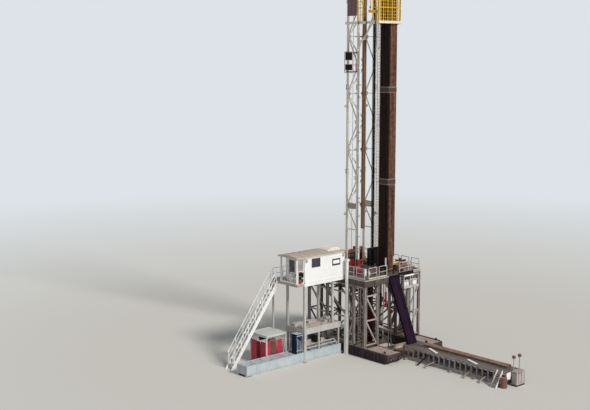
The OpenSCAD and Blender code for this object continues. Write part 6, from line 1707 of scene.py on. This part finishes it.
# %% Mud on the ramp
bm = bmesh.new()
for x in (-0.19, 0.195):
    bar(bm, (x, -1.58, 3.69), (x, -2.84, 0.715), 0.15, 0.012)
make("ramp_mud", bm, painted_steel("dried_brown_mud", "#1c1116", "#2c1c20", dirt="#2a1c1a",
                                   rough=0.85, grime=0.3, chips=0.2, dust=0.02, shine=0.05))

# %% [markdown]
# The catwalk's edges carry arms that kick pipe off the deck, a few steps, a drum for
# thread caps and the end unit with its two floodlights. White drums stand on the platform
# beside the ramp.

# %% Catwalk arms, drums and lamps
bm = bmesh.new()
for a, b in (((-0.98, -4.525, 0.12), (-0.46, -4.66, 0.25)),
             ((-0.86, -6.706, 0.12), (-0.46, -6.69, 0.25)),
             ((-0.9, -7.6, 0.1), (-0.46, -7.6, 0.24))):
    bar(bm, a, b, 0.06, 0.03)
    bar(bm, a, (a[0], a[1], 0.0), 0.05)
for x in (-0.478, 0.478):
    bar(bm, (x, -8.69, 0.64), (x, -2.66, 0.64), 0.012, 0.03)
for k in range(9):
    z, x = 0.06 + k * 0.067, -0.94 + k * 0.054
    bar(bm, (x, -8.5, z), (x, -8.26, z), 0.06, 0.012)
make("catwalk_arms_and_edges", bm, dusty_primer, edge=0.002)
bm = bmesh.new()
turned(bm, [(0.152, 0.0), (0.152, 0.14), (0.157, 0.15), (0.152, 0.16), (0.152, 0.3), (0.157, 0.31),
            (0.152, 0.32), (0.152, 0.445), (0.156, 0.452), (0.14, 0.456), (0.0, 0.452)],
       (-0.625, -8.7, 0.0), (0, 0, 1))
for x in (-0.02, 0.395):
    turned(bm, [(0.03, 0), (0.075, 0.02), (0.08, 0.05), (0.08, 0.12), (0.05, 0.14), (0, 0.14)],
           (x, -8.76, 1.2), (0, 0, 1))
make("drum_hoops_and_lamp_heads", bm, rusted_steel)
bm = bmesh.new()
block(bm, (-0.12, -9.0, 0.62), (0.49, -8.69, 0.655))
for x in (-0.105, 0.07, 0.27, 0.475):
    bar(bm, (x, -8.995, 0.06), (x, -8.995, 0.62), 0.02)
paint_piece("end_unit_plates", bm, "frame_paint", edge=0.002)
bm = bmesh.new()
block(bm, (-0.115, -9.006, 0.0), (0.48, -8.995, 0.055))
block(bm, (-0.115, -9.006, 0.0), (-0.105, -8.7, 0.055))
bar(bm, (-0.98, -4.05, 0.05), (-0.45, -4.25, 0.5), 0.06, 0.05)
paint_piece("end_unit_base_and_prop", bm, "black_paint")
bm = bmesh.new()
for a, b in (((-0.075, -3.972, 0.668), (-0.422, -4.724, 0.668)),
             ((-0.164, -6.349, 0.668), (-0.432, -7.075, 0.668))):
    bar(bm, a, b, 0.13, 0.02)
block(bm, (-0.42, -8.706, 0.3), (-0.16, -8.7, 0.6))
turned(bm, [(0.0, 0), (0.09, 0), (0.09, 0.12), (0.094, 0.125), (0.09, 0.13), (0.09, 0.26),
            (0, 0.26)], (0.6, -1.72, 3.202), (0, 0, 1))
turned(bm, [(0.0, 0), (0.08, 0), (0.08, 0.22), (0.03, 0.27), (0, 0.27)], (0.82, -1.7, 3.202),
       (0, 0, 1))
block(bm, (0.42, -1.885, 3.7), (1.12, -1.845, 3.77))
block(bm, (1.05, -1.8, 3.202), (1.38, -1.62, 3.46))
paint_piece("white_plates_and_drums", bm, "white_panel", edge=0.002)
